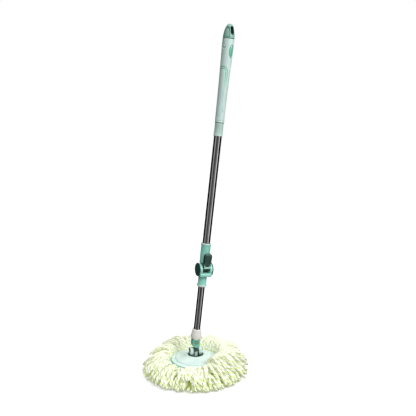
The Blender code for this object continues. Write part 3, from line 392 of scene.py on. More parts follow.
GROUP_MAKERS = {"Mould grain": mould_grain_group, "Edge wear": edge_wear_group,
                "Settled dust": dust_group, "Draw lines": brushing_group, "Twisted yarn": yarn_group}
DUST_COLOUR = (0.62, 0.60, 0.55)
# painted shade: dim emission colour in the furrows between the plies, under the yarn's painted light
FURROW_PAINTED_SHADE = (0.10, 0.12, 0.03)          # glow in the furrows between the plies
PLATED_ROUGHNESS = 0.28
STOCK = {"dark_green_moulding": ("dark_green", {"roughness": 0.30, "wear": 0.5}),
         "mint_moulding": ("mint", {"roughness": 0.30}),
         "black_moulding": ("black", {"roughness": 0.5, "wear": 0.1}),
         "teal_moulding": ("teal", {"roughness": 0.28, "wear": 0.4, "gloss_coat": 0.2}),
         "off_white_moulding": ("cream", {"roughness": 0.42, "wear": 0.2, "tone": 0.12})}


def use_group(tree, name, inputs=None):
    """Place a shared effect, built the first time that it is asked for."""
    effect = bpy.data.node_groups.get(name) or GROUP_MAKERS[name]()
    return put(tree, "ShaderNodeGroup", inputs, node_tree=effect).outputs


def new_material(name):
    material = bpy.data.materials.new(name)
    material.use_nodes = True
    return material, material.node_tree, material.node_tree.nodes["Principled BSDF"]


def scaled(colour, factor):
    return tuple(min(1.0, channel * factor) for channel in colour)


def moulded(name, colour, roughness=0.32, tone=0.1, grain_depth=0.00004, wear=0.35, dust=0.0,
            gloss_coat=0.0, groove=None):
    """Moulded plastic: fine grain, slow changes of tone, rubbed edges and a little dust."""
    if name in bpy.data.materials:
        return bpy.data.materials[name]
    material, tree, shader = new_material(name)
    grain = use_group(tree, "Mould grain")
    worn = use_group(tree, "Edge wear")["Worn"]
    base = mixed(tree, grain["Tone"], scaled(colour, 1 - tone), scaled(colour, 1 + tone))
    pale = tuple(0.45 + 0.55 * channel for channel in colour)
    skin = mixed(tree, times(tree, worn, wear), base, pale)
    if dust:
        skin = mixed(tree, use_group(tree, "Settled dust", {"Amount": dust})["Dust"], skin, DUST_COLOUR)
    # painted shade: the groove attribute turns the skin toward a darker colour in recesses and on shaded
    # sides
    if groove:
        skin = mixed(tree, stored(tree, "groove"), skin, groove)
    rough = remap(tree, grain["Tone"], 0.0, 1.0, roughness - 0.06, roughness + 0.1)
    rougher = maths(tree, "ADD", rough, times(tree, worn, 0.15), True)
    dress(tree, shader, skin, grain["Grain"], grain_depth, 0.6, rougher)
    shader.inputs["IOR"].default_value = 1.5
    shader.inputs["Coat Weight"].default_value = gloss_coat
    shader.inputs["Coat Roughness"].default_value = 0.12
    return material


def shade_by_height(name, lower, upper, low, high):
    """Moulded plastic in two colours that meet between two heights; the darker colour is painted shade.
    """
    material = moulded(name, upper)
    tree = material.node_tree
    colour = tree.nodes["Principled BSDF"].inputs["Base Color"]
    upper_skin = colour.links[0].from_socket
    height = parts_of(tree, place_on(tree))["Z"]
    tree.links.new(mixed(tree, remap(tree, height, low, high), lower, upper_skin), colour)
    return material


def stock(context, name):
    """A plastic that several groups of pieces share."""
    colour, looks = STOCK[name]
    return moulded(name, getattr(context.scene.spinmop_plastics, colour), **looks)


def drawn_steel(name, bright, dark, roughness):
    """Polished tube: draw lines and smears along its length."""
    material, tree, shader = new_material(name)
    lines = use_group(tree, "Draw lines")
    streaked = maths(tree, "ADD", times(tree, lines["Smears"], 0.8), times(tree, lines["Lines"], 0.25),
                     True)
    rough = remap(tree, lines["Smears"], 0.0, 1.0, roughness + 0.08, roughness)
    dress(tree, shader, mixed(tree, streaked, dark, bright), lines["Lines"], 0.000004, 0.5, rough)
    shader.inputs["Metallic"].default_value = 1.0
    return material


def plated_steel(context):
    """Zinc-plated hardware with a mottled sheen."""
    if "plated_steel" in bpy.data.materials:
        return bpy.data.materials["plated_steel"]
    material, tree, shader = new_material("plated_steel")
    colour = context.scene.spinmop_steel.plated
    grain = use_group(tree, "Mould grain", {"Scale": 1400.0, "Flow": 260.0})
    base = mixed(tree, grain["Tone"], scaled(colour, 0.75), scaled(colour, 1.2))
    rough = remap(tree, grain["Tone"], 0.0, 1.0, PLATED_ROUGHNESS - 0.06, PLATED_ROUGHNESS + 0.12)
    dress(tree, shader, base, grain["Grain"], 0.00002, 0.4, rough)
    shader.inputs["Metallic"].default_value = 1.0
    return material


def yarn_material(settings):
    """Plump white yarn with a lime ply, limer near the floor; each strand has its own tone. Its emission
    is painted light, dimmed to painted shade in the furrows between the plies.
    """
    material, tree, shader = new_material("two_ply_yarn")
    level = parts_of(tree, place_on(tree))["Z"]
    share = remap(tree, level, 0.008, 0.055, settings.lime_share + 0.16, settings.lime_share)
    yarn = use_group(tree, "Twisted yarn", {"Turns": settings.turns, "Lime share": share})
    tone = stored(tree, "strand_tone")
    white = mixed(tree, tone, scaled(settings.white, 0.86), settings.white)
    lime = mixed(tree, tone, scaled(settings.lime, 0.75), scaled(settings.lime, 1.1))
    base = mixed(tree, yarn["Lime"], white, lime)
    soaked = mixed(tree, remap(tree, yarn["Fluff"], 0.3, 0.6, 0.16, 0.0), base, settings.lime)
    height = maths(tree, "ADD", yarn["Ply"], times(tree, yarn["Fluff"], 0.35))
    dress(tree, shader, soaked, height, 0.0012, 0.7)
    # painted light: the yarn emits a pale colour, lime on the lime ply, and the furrows drop to painted
    # shade
    painted_glow = mixed(tree, yarn["Lime"], settings.painted_glow, settings.lime)
    lit = mixed(tree, remap(tree, height, 0.0, 0.030), FURROW_PAINTED_SHADE, painted_glow)
    tree.links.new(lit, shader.inputs["Emission Color"])
    shader.inputs["Emission Strength"].default_value = 0.2
    shader.inputs["Roughness"].default_value = 0.9
    shader.inputs["Sheen Weight"].default_value = 0.35
    shader.inputs["Sheen Roughness"].default_value = 0.5
    shader.inputs["Specular IOR Level"].default_value = 0.2
    return material


# ---------------------------------------------------------------- settings

def colour_setting(name, description, default):
    return FloatVectorProperty(name=name, description=description, default=default, size=3,
                               min=0.0, max=1.0, subtype="COLOR")


def number_setting(name, description, default, **limits):
    return FloatProperty(name=name, description=description, default=default, **limits)


class SpinMopYarn(bpy.types.PropertyGroup):
    """The strands of the head."""
    strands: IntProperty(name="Strands", description="Strands in each full layer of the head",
                         default=84, min=20, max=120)
    radius: number_setting("Yarn radius", "Half the thickness of a strand", 0.0046, min=0.001,
                           max=0.008, unit="LENGTH")
    jitter: number_setting("Unruliness", "How far strands stray from their lay", 1.0, min=0.0,
                           max=2.0, subtype="FACTOR")
    turns: number_setting("Twist", "Plies met along a strand", 8.0)
    lime_share: number_setting("Lime share", "Share of a strand that is lime yarn", 0.35, min=0.0,
                               max=1.0, subtype="FACTOR")
    white: colour_setting("White yarn", "Colour of the plump yarn", (0.86, 0.86, 0.81))
    lime: colour_setting("Lime yarn", "Colour of the thin yarn", (0.54, 0.68, 0.14))
    # painted shade: olive colour of the yarn bed, standing in for the shade between the strands
    tangle: colour_setting("Tangle", "Colour deep between the strands", (0.52, 0.60, 0.20))
    # painted light: emission colour of the yarn, standing in for light soaking through the white yarn
    painted_glow: colour_setting("Glow", "Light that soaks through the white yarn", (0.90, 0.91, 0.72))


class SpinMopPlastics(bpy.types.PropertyGroup):
    """The colours of the mouldings."""
    pale_mint: colour_setting("Pale mint", "Plate, bracket and grip", (0.60, 0.73, 0.68))
    grip: colour_setting("Grip", "Skin of the grip", (0.54, 0.69, 0.65))
    mint: colour_setting("Mint", "Lock and strand ring", (0.28, 0.66, 0.55))
    teal: colour_setting("Teal", "Neck and inset", (0.15, 0.45, 0.33))
    # painted shade: darker colour painted on the wall of the plate's rim and on its step
    rim: colour_setting("Rim", "Wall of the plate's rim", (0.26, 0.50, 0.49))
    dark_green: colour_setting("Dark green", "Side caps and cup", (0.022, 0.080, 0.060))
    lever: colour_setting("Lever green", "Lock lever", (0.012, 0.046, 0.034))
    sage: colour_setting("Sage", "Ferrule", (0.44, 0.60, 0.55))
    cap: colour_setting("Cap", "End cap", (0.20, 0.40, 0.33))
    cream: colour_setting("Off-white", "Collar, nut and anchor", (0.74, 0.73, 0.69))
    black: colour_setting("Black", "Pin caps, bush and stop", (0.012, 0.014, 0.014))


class SpinMopSteel(bpy.types.PropertyGroup):
    """The finish of the tubes and fasteners."""
    bright: colour_setting("Bright steel", "Polished streaks", (0.88, 0.87, 0.87))
    dark: colour_setting("Dark steel", "Smeared streaks", (0.30, 0.295, 0.30))
    plated: colour_setting("Plated steel", "Pins and screws", (0.50, 0.51, 0.52))
    roughness: number_setting("Roughness", "Roughness of the polished streaks", 0.06, min=0.0,
                              max=1.0, subtype="FACTOR")


class SpinMopStage(bpy.types.PropertyGroup):
    """The floor, the lights and the camera."""
    heading: number_setting("Camera heading", "Heading of the camera round the mop",
                            math.radians(-42), subtype="ANGLE")
    distance: number_setting("Distance", "Camera to the mop, along the floor", 2.059, unit="LENGTH")
    aside: number_setting("Aside", "Camera's step to its right", 0.041, unit="LENGTH")
    height: number_setting("Height", "Camera above the floor", 0.92, unit="LENGTH")
    pitch: number_setting("Pitch", "How far the camera looks down", math.radians(10.2),
                          subtype="ANGLE")
    lens: number_setting("Focal length", "Focal length in millimetres", 57.1)
    key: number_setting("Light strength", "Strength of the key light and the fill light", 1.0)
    floor: colour_setting("Floor", "Colour of the floor", (0.76, 0.76, 0.76))


# ---------------------------------------------------------------- head

HEAD_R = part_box("mop_strands")[1].x
CREST_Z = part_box("mop_strands")[1].z
RING_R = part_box("strand_ring")[1].x
STATIONS = 11

# Each layer: its name, its share of the full count, and its lay from root to tip. A point of the
# lay is its share of the way from the ring's edge to the head's reach, and its share of the crest.
LAYERS = (
    ("strands_under", 1.05, ((-0.30, 0.36), (0.02, 0.24), (0.38, 0.12), (0.72, 0.07), (0.93, 0.07))),
    ("strands_low", 0.95, ((-0.16, 0.40), (0.10, 0.44), (0.45, 0.42), (0.80, 0.24), (0.97, 0.07))),
    ("strands_middle", 1.0, ((-0.06, 0.46), (0.09, 0.62), (0.38, 0.72), (0.76, 0.56), (1.0, 0.22))),
    ("strands_upper", 1.0, ((-0.03, 0.49), (0.06, 0.74), (0.28, 0.90), (0.64, 0.82), (0.97, 0.44))),
    ("strands_crest", 0.80, ((-0.02, 0.50), (0.03, 0.78), (0.16, 0.96), (0.46, 1.00), (0.86, 0.68))),
)
OVER_RIM_HEADING = math.radians(-78)    # where the strands flop over the plate's rim
OVER_RIM_SPREAD = math.radians(36)
HIGH_SIDE = math.radians(12)            # where the crest stands highest
LOOSE_FROM = 3                          # first layer whose strands lie loosely
HIGHEST = 1.17                          # limit of a strand's height, as a share of the crest
LOWEST = 1.5                            # and above the floor, in yarn radii


def strand_template():
    """One straight strand from z 0 to 1, of radius 1, with u round it and v along it."""
    bm = bmesh.new()
    bmesh.ops.create_cone(bm, cap_ends=True, segments=6, radius1=1.0, radius2=1.0, depth=1.0)
    bmesh.ops.translate(bm, vec=(0, 0, 0.5), verts=bm.verts)
    long_edges = [edge for edge in bm.edges if abs(edge.verts[0].co.z - edge.verts[1].co.z) > 0.5]
    bmesh.ops.subdivide_edges(bm, edges=long_edges, cuts=STATIONS - 1)
    layer = bm.loops.layers.uv.verify()
    for face in bm.faces:
        middle = face.calc_center_median()
        heading = math.atan2(middle.y, middle.x)
        for loop in face.loops:
            point = loop.vert.co
            turn = heading + math.remainder(math.atan2(point.y, point.x) - heading, 2 * math.pi)
            loop[layer].uv = (turn / (2 * math.pi), point.z)
    return new_mesh("strand_template", bm)


def spline_point(points, share):
    """A point on the smooth curve through a strand's lay."""
    reach = share * (len(points) - 1)
    index = min(int(reach), len(points) - 2)
    local = reach - index
    before = points[max(index - 1, 0)]
    start, end = points[index], points[index + 1]
    after = points[min(index + 2, len(points) - 1)]
    return 0.5 * (2 * start + (end - before) * local
                  + (2 * before - 5 * start + 4 * end - after) * local ** 2
                  + (3 * start - before - 3 * end + after) * local ** 3)


def strand_lay(lay, heading, order, rng, settings):
    """The points of one strand, root to tip, in the head's frame."""
    clump = Vector((math.cos(heading) * 2.6, math.sin(heading) * 2.6, order * 3.7))
    sweep = noise.noise(clump) * 0.35 + rng.uniform(-0.07, 0.07) * settings.jitter
    swell = 1 + 0.10 * noise.noise(clump * 1.7 + Vector((9, 0, 0))) + rng.uniform(-0.05, 0.05)
    length = 1 + rng.uniform(-0.10, 0.02) + 0.10 * noise.noise(clump * 2.3 + Vector((0, 9, 0)))
    over = bump(math.remainder(heading - OVER_RIM_HEADING, 2 * math.pi), OVER_RIM_SPREAD)
    loose = order >= LOOSE_FROM
    over *= loose
    facing = math.cos(heading - HIGH_SIDE)
    rise = 1 + (0.30 if facing < 0 else 0.22) * facing * (order >= 1) + 0.10 * over
    length -= rng.uniform(0, 0.24) * loose
    tuft = max(0.0, noise.noise(clump * 2.1 + Vector((0, 0, 7)))) * loose
    swell *= 1 + 0.35 * tuft * settings.jitter
    wave = rng.uniform(0, 2 * math.pi)
    points = []
    for index, (out, up) in enumerate(lay):
        share = index / (len(lay) - 1)
        radius = RING_R + out * length * (HEAD_R - RING_R - settings.radius)
        height = up * CREST_Z * (1 + (swell * rise - 1) * smooth(0.0, 0.4, share))
        if index == 1:
            radius += max(0.0, -facing) * 0.008 - over * 0.020
            height += over * 0.007 - max(0.0, -facing) * 0.011
        turn = heading + sweep * share ** 1.6 * (1.5 if loose else 1.0)
        turn += 0.02 * settings.jitter * math.sin(wave + 5 * share)
        height += 0.003 * settings.jitter * math.sin(2 * wave + 11 * share) * smooth(0.1, 0.4, share)
        height = min(max(height, settings.radius * LOWEST), CREST_Z * HIGHEST)
        points.append(Vector((radius * math.cos(turn), radius * math.sin(turn), height)))
    return points


def lay_strand(bm, tone_layer, template, points, radius, tone):
    """Bend a copy of the template along a strand's points."""
    first = len(bm.verts)
    bm.from_mesh(template)
    bm.verts.ensure_lookup_table()
    for vert in bm.verts[first:]:
        share = vert.co.z
        middle = spline_point(points, share)
        ahead = spline_point(points, min(1.0, share + 0.02))
        behind = spline_point(points, max(0.0, share - 0.02))
        along = (ahead - behind).normalized()
        side = Vector((0, 0, 1)).cross(middle).normalized()
        up = along.cross(side).normalized()
        station = round(share * STATIONS)
        girth = radius * (1.20 if station % 2 else 0.86)
        girth *= 0.5 if station == STATIONS else 1.0
        vert.co = middle + girth * (vert.co.x * side + vert.co.y * up)
        vert[tone_layer] = tone


class SPINMOP_OT_strands(bpy.types.Operator):
    """Lay the yarn strands of the head, layer by layer"""
    bl_idname = "spinmop.strands"
    bl_label = "Strands"

    def execute(self, context):
        settings = context.scene.spinmop_yarn
        material = yarn_material(settings)
        template = strand_template()
        rng = random.Random(11)
        for order, (name, share, lay) in enumerate(LAYERS):
            bm = bmesh.new()
            tone_layer = bm.verts.layers.float.new("strand_tone")
            count = round(settings.strands * share)
            for number in range(count):
                heading = 2 * math.pi * (number + order * 0.37 + rng.uniform(-0.3, 0.3)) / count
                points = strand_lay(lay, heading, order, rng, settings)
                radius = settings.radius * rng.uniform(0.9, 1.1)
                lay_strand(bm, tone_layer, template, points, radius, rng.random())
            nodes = ("mop_strands",) if order == 0 else ()
            add_piece(name, bm, HEAD, material, "mop_head", "strand_yarn", *nodes, sharp=80)
        bpy.data.meshes.remove(template)
        self.bed(settings)
        return {"FINISHED"}

    def bed(self, settings):
        """The yarn bed deep between the strands: its olive colour is painted shade in the gaps."""
        reach = HEAD_R - RING_R
        profile = ((-0.05, 0.42), (0.03, 0.50), (0.22, 0.58), (0.44, 0.50), (0.60, 0.32), (0.68, 0.08),
                   (0.40, 0.05), (-0.05, 0.10))
        outline = [(RING_R + out * reach, up * CREST_Z) for out, up in profile]
        bm = turned(outline, 192)
        bmesh.ops.subdivide_edges(bm, edges=bm.edges[:], cuts=1, use_grid_fill=True)
        for vert in bm.verts:
            heading = math.atan2(vert.co.y, vert.co.x)
            vert.co.z *= 1 + 0.18 * math.cos(heading - HIGH_SIDE)
            ridge = abs(math.sin(44 * heading + 3 * noise.noise(vert.co * 60)))
            vert.co.z = max(0.002, vert.co.z + 0.003 * noise.noise(vert.co * 130) - 0.002 * ridge)
        # painted shade: the bed's olive colour fills the gaps between the strands
        material = moulded("yarn_tangle", settings.tangle, 0.95, tone=0.35, grain_depth=0.001,
                           wear=0.0)
        add_piece("strands_bed", bm, HEAD, material, "mop_head", "strand_yarn", sharp=80)


RIM_STEP = 0.0132                       # from the rim's edge in to the middle of its step


def plate_outline():
    """The plate from its hub's bore outwards, over the stepped rim, and back underneath."""
    low, high = box_in("head_plate", HEAD)
    rim_r, base, top = high.x, low.z, high.z
    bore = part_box("hub_cup")[1].x + 0.0003
    rim_top = base + (top - base) * 0.45
    return (near(bore, top, (0, -30), (0, -6), (6, 0), (34, 0), (52, -9), (74, -31), (100, -45),
                 (160, -66), (250, -93))
            + near(rim_r, rim_top, (-205, 46), (-150, 30), (-140, 21), (-132, 6), (-124, 2), (-90, 0),
                   (-40, -10), (-16, -20), (-4, -34), (0, -50))
            + near(rim_r, base, (0, 6), (-6, 0), (-30, 0), (-160, 40))
            + near(bore, top, (160, -120), (30, -120), (0, -110)))


class SPINMOP_OT_plate(bpy.types.Operator):
    """Finish the plate, the strand ring, the cup, the bracket and their screws"""
    bl_idname = "spinmop.plate"
    bl_label = "Plate and hub"

    def execute(self, context):
        plastics = context.scene.spinmop_plastics
        plate = turned(plate_outline(), 128)
        groove = plate.verts.layers.float.new("groove")
        rim_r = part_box("head_plate")[1].x
        # painted shade: the rim's outer wall and the line of its step take the darker rim colour
        for vert in plate.verts:
            reach = vert.co.xy.length
            step = bump(reach - rim_r + RIM_STEP, 0.0010)
            vert[groove] = max(0.85 * smooth(rim_r - 0.0022, rim_r - 0.0002, reach), 0.7 * step)
        skin = moulded("plate_moulding", plastics.pale_mint, 0.34, dust=0.12, groove=plastics.rim)
        add_piece("plate_shell", plate, HEAD, skin, "mop_head", "pale_mint_plastic", "head_plate",
                  sharp=40, wrapped=True)
        soften_node("strand_ring", 0.0006, stock(context, "mint_moulding"), "mint_plastic")
        soften_node("hub_cup", 0.0004, stock(context, "dark_green_moulding"), "dark_green_plastic")
        # painted shade: the bracket's lower part, deep in the cup, is painted dark green
        bracket = shade_by_height("bracket_moulding", plastics.dark_green, plastics.pale_mint,
                           TILT_PIN.z - 0.016, TILT_PIN.z - 0.006)
        soften_node("hub_bracket", 0.0006, bracket, "pale_mint_plastic", 3)
        for node in ("tilt_pin_cap_left", "tilt_pin_cap_right"):
            soften_node(node, 0.0004, stock(context, "black_moulding"), "black_plastic")
        finish_nodes(plated_steel(context), "tilt_pin", "hub_screw_left", "hub_screw_right",
                     "hub_screw_back")
        return {"FINISHED"}


# ---------------------------------------------------------------- neck

COLLAR_NOTCHES = 5


class SPINMOP_OT_neck(bpy.types.Operator):
    """Finish the two-pin neck and its barrel collar"""
    bl_idname = "spinmop.neck"
    bl_label = "Neck"

    def execute(self, context):
        plastics = context.scene.spinmop_plastics
        # painted shade: the cross block's top is painted dark green where it lies in shadow
        block_shade_skin = shade_by_height("block_moulding", plastics.pale_mint, plastics.dark_green,
                              TILT_PIN.z - 0.0055, TILT_PIN.z - 0.0045)
        soften_node("cross_block", 0.0006, block_shade_skin, "pale_mint_plastic", 3)
        soften_node("neck_fork", 0.0006, stock(context, "teal_moulding"), "teal_plastic", 3)
        # painted shade: the bosses take a darkened copy of the neck's teal
        self.bosses(moulded("deep_teal_moulding", scaled(plastics.teal, 0.45), 0.3))
        self.collar(stock(context, "off_white_moulding"))
        finish_nodes(plated_steel(context), "sway_pin", "collar_screw")
        return {"FINISHED"}

    def bosses(self, material):
        """A raised ring round each end of the sway pin, coloured a darker copy of the teal as painted
        shade.
        """
        low, high = box_in("neck_fork", NECK)
        pin_r = box_in("sway_pin", NECK)[1].x
        ring = near(pin_r, 0, (6, -20), (6, 8), (12, 13), (26, 13), (34, 6), (36, -20))
        for side, name in ((-1, "neck_boss_front"), (1, "neck_boss_back")):
            face = high.y if side > 0 else low.y
            bm = turned(ring, 48)
            place = NECK @ Matrix.Translation((0, face, 0)) @ Matrix.Rotation(-side * math.pi / 2, 4, "X")
            add_piece(name, bm, place, material, "lower_pole", "teal_plastic")

    def collar(self, material):
        """The barrel with rounded lips, fine turning lines and a notched skirt."""
        low, high = box_in("neck_collar", NECK)
        reach, base, top = high.x, low.z, high.z
        bore = box_in("inner_tube", NECK)[1].x + 0.0003
        outline = near(bore, top, (0, -10), (6, 0)) + near(reach, top, (-48, 0), (-34, -6), (-26, -22))
        rings = 26
        for ring in range(rings + 1):
            height = top - 0.004 - (top - base - 0.0048) * ring / rings
            share = (height - base) / (top - base)
            belly = reach - 0.0026 * smooth(0.25, 1.0, share) - 0.0006 * smooth(0.25, 0.0, share)
            line = 0.0003 * (ring % 5 == 2)
            outline.append((belly - line, height))
        outline += near(reach, base, (-12, 0), (-30, 4), (-34, 120)) + near(bore, base, (0, 120))
        bm = turned(outline, FINE_STEPS)
        for vert in bm.verts:
            turn = math.atan2(vert.co.y, vert.co.x) * COLLAR_NOTCHES / 2
            notch = abs(math.cos(turn)) ** 10 * 0.0040
            vert.co.z += notch * smooth(base + 0.012, base, vert.co.z)
        add_piece("collar_shell", bm, NECK, material, "lower_pole", "cream_plastic", "neck_collar",
                  wrapped=True)


# ---------------------------------------------------------------- tubes and drive

TUBE_WALL = 0.0008


def tube(node, material, body):
    """A drawn tube with rolled ends."""
    wall = TUBE_WALL
    low, high = box_in(node, LOCK)
    outer, base, top = high.x, low.z, high.z
    lip = wall * 0.35
    outline = [(outer - wall, base + lip), (outer - wall + lip, base), (outer - lip, base),
               (outer, base + lip), (outer, top - lip), (outer - lip, top),
               (outer - wall + lip, top), (outer - wall, top - lip)]
    add_piece(node + "_shell", turned(outline), LOCK, material, body, "polished_steel", node,
              wrapped=True)


class SPINMOP_OT_tubes(bpy.types.Operator):
    """Finish the two telescoping tubes and the twisted drive inside them"""
    bl_idname = "spinmop.tubes"
    bl_label = "Tubes and drive"

    def execute(self, context):
        steel = context.scene.spinmop_steel
        outer = drawn_steel("outer_tube_steel", steel.bright, steel.dark, steel.roughness)
        inner = drawn_steel("inner_tube_steel", scaled(steel.bright, 0.8), scaled(steel.dark, 0.6),
                            steel.roughness)
        tube("outer_tube", outer, "upper_pole")
        tube("inner_tube", inner, "lower_pole")
        finish_nodes(stock(context, "black_moulding"), "guide_bush", "rod_stop")
        finish_nodes(stock(context, "off_white_moulding"), "drive_nut", "rod_anchor")
        finish_nodes(plated_steel(context), "twisted_rod", "nut_retainer", "rod_pin")
        return {"FINISHED"}


# ---------------------------------------------------------------- lock

# the dark ring of painted shade sits on this floor
YOKE_FLOOR = 0.0472                     # floor that the wiper sits on, above the yoke's base
CAP_DISH = ((1, 0.55), (0.975, 0.85), (0.93, 1), (0.87, 0.92), (0.83, 0.62), (0.70, 0.55),
            (0.40, 0.72), (0.18, 0.80), (0, 0.82))


def yoke_mouth_radius():
    """Outer radius of the yoke's lower sleeve at its mouth."""
    inverse = LOCK.inverted()
    points = [inverse @ vertex.co for vertex in NODES["lock_yoke"].data.vertices]
    base = min(point.z for point in points)
    return max(point.xy.length for point in points if point.z < base + 0.004)


class SPINMOP_OT_lock(bpy.types.Operator):
    """Finish the lock: sleeve, yoke, side caps, lever and shoe"""
    bl_idname = "spinmop.lock"
    bl_label = "Lock"

    def execute(self, context):
        plastics = context.scene.spinmop_plastics
        mint = stock(context, "mint_moulding")
        rubber = moulded("dull_rubber", (0.02, 0.02, 0.02), 0.7, wear=0.1)
        self.sleeve(mint)
        soften_node("lock_yoke", 0.0009, mint, "mint_plastic", 3)
        self.side_caps(stock(context, "dark_green_moulding"))
        soften_node("lock_lever", 0.0012, moulded("lever_moulding", plastics.lever, 0.34),
                    "dark_green_plastic", 3)
        # painted highlight: paler mint facets with strong pale edges make a light X on the dark lever
        self.facets(moulded("lever_facet_moulding", scaled(plastics.mint, 0.75), 0.22, wear=0.6))
        # painted highlight: pale rings laid over the lock's two mouths
        self.lip(moulded("pale_lip_moulding", plastics.pale_mint, 0.25))
        # painted shade: a black ring fills the gap below the lever
        self.wiper(rubber)
        finish_nodes(plated_steel(context), "lever_pin", "lock_screw_lower", "lock_screw_upper")
        finish_nodes(rubber, "clamp_shoe")
        return {"FINISHED"}

    def sleeve(self, material):
        """The upper sleeve, with a rounded lip at its mouth."""
        low, high = box_in("lock_sleeve", LOCK)
        reach, base, top = high.x - 0.0004, low.z, high.z
        bore = box_in("outer_tube", LOCK)[1].x + 0.0003
        outline = (near(bore, base, (0, 105)) + near(bore, top, (0, -5), (5, 0))
                   + near(reach, top, (-6, 0), (2, -4), (6, -14), (6, -40), (2, -48), (0, -56), (0, -300))
                   + near(reach, base, (0, 40), (-4, 18), (-14, 5), (-26, 0))
                   + near(bore, base, (-10, 0), (-10, 105)))
        add_piece("lock_sleeve_shell", turned(outline), LOCK, material, "upper_pole", "mint_plastic",
                  "lock_sleeve", wrapped=True)

    def wiper(self, material):
        """A dark ring that sits on the yoke's base, round the inner tube: painted shade in the gap below
        the lever.
        """
        bore = box_in("inner_tube", LOCK)[1].x + 0.0004
        top = box_in("clamp_shoe", LOCK)[0].z - 0.0006
        base = box_in("lock_yoke", LOCK)[0].z + YOKE_FLOOR
        outline = near(bore, base, (0, 0), (16, 0)) + near(bore, top, (16, -8), (9, 0), (0, 0))
        if top > base + 0.002:
            add_piece("lock_wiper", turned(outline), LOCK, material, "upper_pole", "clamp_rubber")

    def lip(self, material):
        """The flared lips at the two mouths of the lock, as pale rings: painted highlight."""
        yoke, sleeve = box_in("lock_yoke", LOCK), box_in("lock_sleeve", LOCK)
        inner = box_in("inner_tube", LOCK)[1].x + 0.0006
        outer = box_in("outer_tube", LOCK)[1].x + 0.0006
        lower = yoke_mouth_radius() + 0.0004
        rings = (("lock_lip_lower", inner, lower, yoke[0].z - 0.0008, yoke[0].z + 0.0044),
                 ("lock_lip_upper", outer, sleeve[1].x + 0.0006, sleeve[1].z - 0.0012,
                  sleeve[1].z + 0.0010))
        for name, bore, reach, base, top in rings:
            outline = ([(bore, base)] + near(reach, base, (-6, 0), (-1.8, 1.8), (0, 6))
                       + near(reach, top, (0, -6), (-1.8, -1.8), (-6, 0)) + [(bore, top)])
            add_piece(name, turned(outline), LOCK, material, "upper_pole", "pale_mint_plastic")

    def side_caps(self, material):
        """Dished discs with a rolled rim."""
        for node in ("side_cap_left", "side_cap_right"):
            low, high = box_in(node, LOCK)
            middle = (low + high) / 2
            radius, depth = (high.z - low.z) / 2, high.x - low.x
            side = 1 if middle.x > 0 else -1
            outline = [(0, 0), (radius - 0.0006, 0), (radius, 0.0005)]
            outline += [(radius * out, depth * up) for out, up in CAP_DISH]
            place = (LOCK @ Matrix.Translation((low.x if side > 0 else high.x, middle.y, middle.z))
                     @ Matrix.Rotation(side * math.pi / 2, 4, "Y"))
            add_piece(node + "_shell", turned(outline), place, material, "upper_pole",
                      "dark_green_plastic", node)

    def facets(self, material):
        """A shallow four-sided boss low on the lever, paler than the lever as a painted highlight, so
        that its faces show as a light X.
        """
        low, high = box_in("lock_lever", LOCK)
        width = (high.x - low.x) * 0.42
        bottom = low.z + 0.0085
        top = bottom + 0.0155
        face = low.y + 0.0024
        bm = block((-width, face, bottom), (width, face + 0.004, top))
        front = min(bm.faces, key=lambda item: item.calc_center_median().y)
        poked = bmesh.ops.poke(bm, faces=[front], offset=0.0)
        bmesh.ops.translate(bm, vec=(0, 0.0030, 0), verts=poked["verts"])
        add_piece("lever_facets", bm, LOCK, material, "lock_lever", "dark_green_plastic", sharp=15)


# ---------------------------------------------------------------- grip

GRIP_BASE = box_in("grip_body", GRIP)[0].z
GRIP_TOP = box_in("grip_body", GRIP)[1].z
GRIP_R_TOP = box_in("grip_body", GRIP)[1].x
GRIP_R_BOTTOM = GRIP_R_TOP - 0.004

# The hooked channel beside the inset: degrees from the grip's front, and metres below its top.
HOOK = ((101, 0.0), (101, 0.0200), (95, 0.0260), (84, 0.0278), (70, 0.0255))
HOLE_HALF_WIDTH = 0.006
HOLE_HALF_HEIGHT = 0.012
CAP_DOME = 1.7                          # powers of the cap's dome, along it and across it
CAP_SHOULDER = 1 / 2.4


def grip_radius(height):
    share = min(1.0, max(0.0, (height - GRIP_BASE) / (GRIP_TOP - GRIP_BASE)))
    return GRIP_R_BOTTOM + (GRIP_R_TOP - GRIP_R_BOTTOM) * share ** GRIP_TAPER_POWER


def panel_distance(turn, height, top, bottom, half_angle, rise):
    """Distance outside the outline of an arch-topped side panel, negative inside it."""
    across = math.remainder(abs(turn) - SIDE_PANEL, 2 * math.pi) / half_angle
    reach = half_angle * grip_radius(height)
    if height > top - rise:
        beyond = (height - top + rise) / rise
    elif height < bottom + rise:
        beyond = (bottom + rise - height) / rise
    else:
        beyond = 0.0
    return (math.hypot(across, beyond) - 1) * min(reach, rise if beyond else reach)


def path_distance(point, path):
    """Distance from a point to a line through several points."""
    nearest = 1.0
    for start, end in zip(path, path[1:]):
        along = end - start
        share = max(0.0, min(1.0, (point - start).dot(along) / along.length_squared))
        nearest = min(nearest, (point - start - along * share).length)
    return nearest


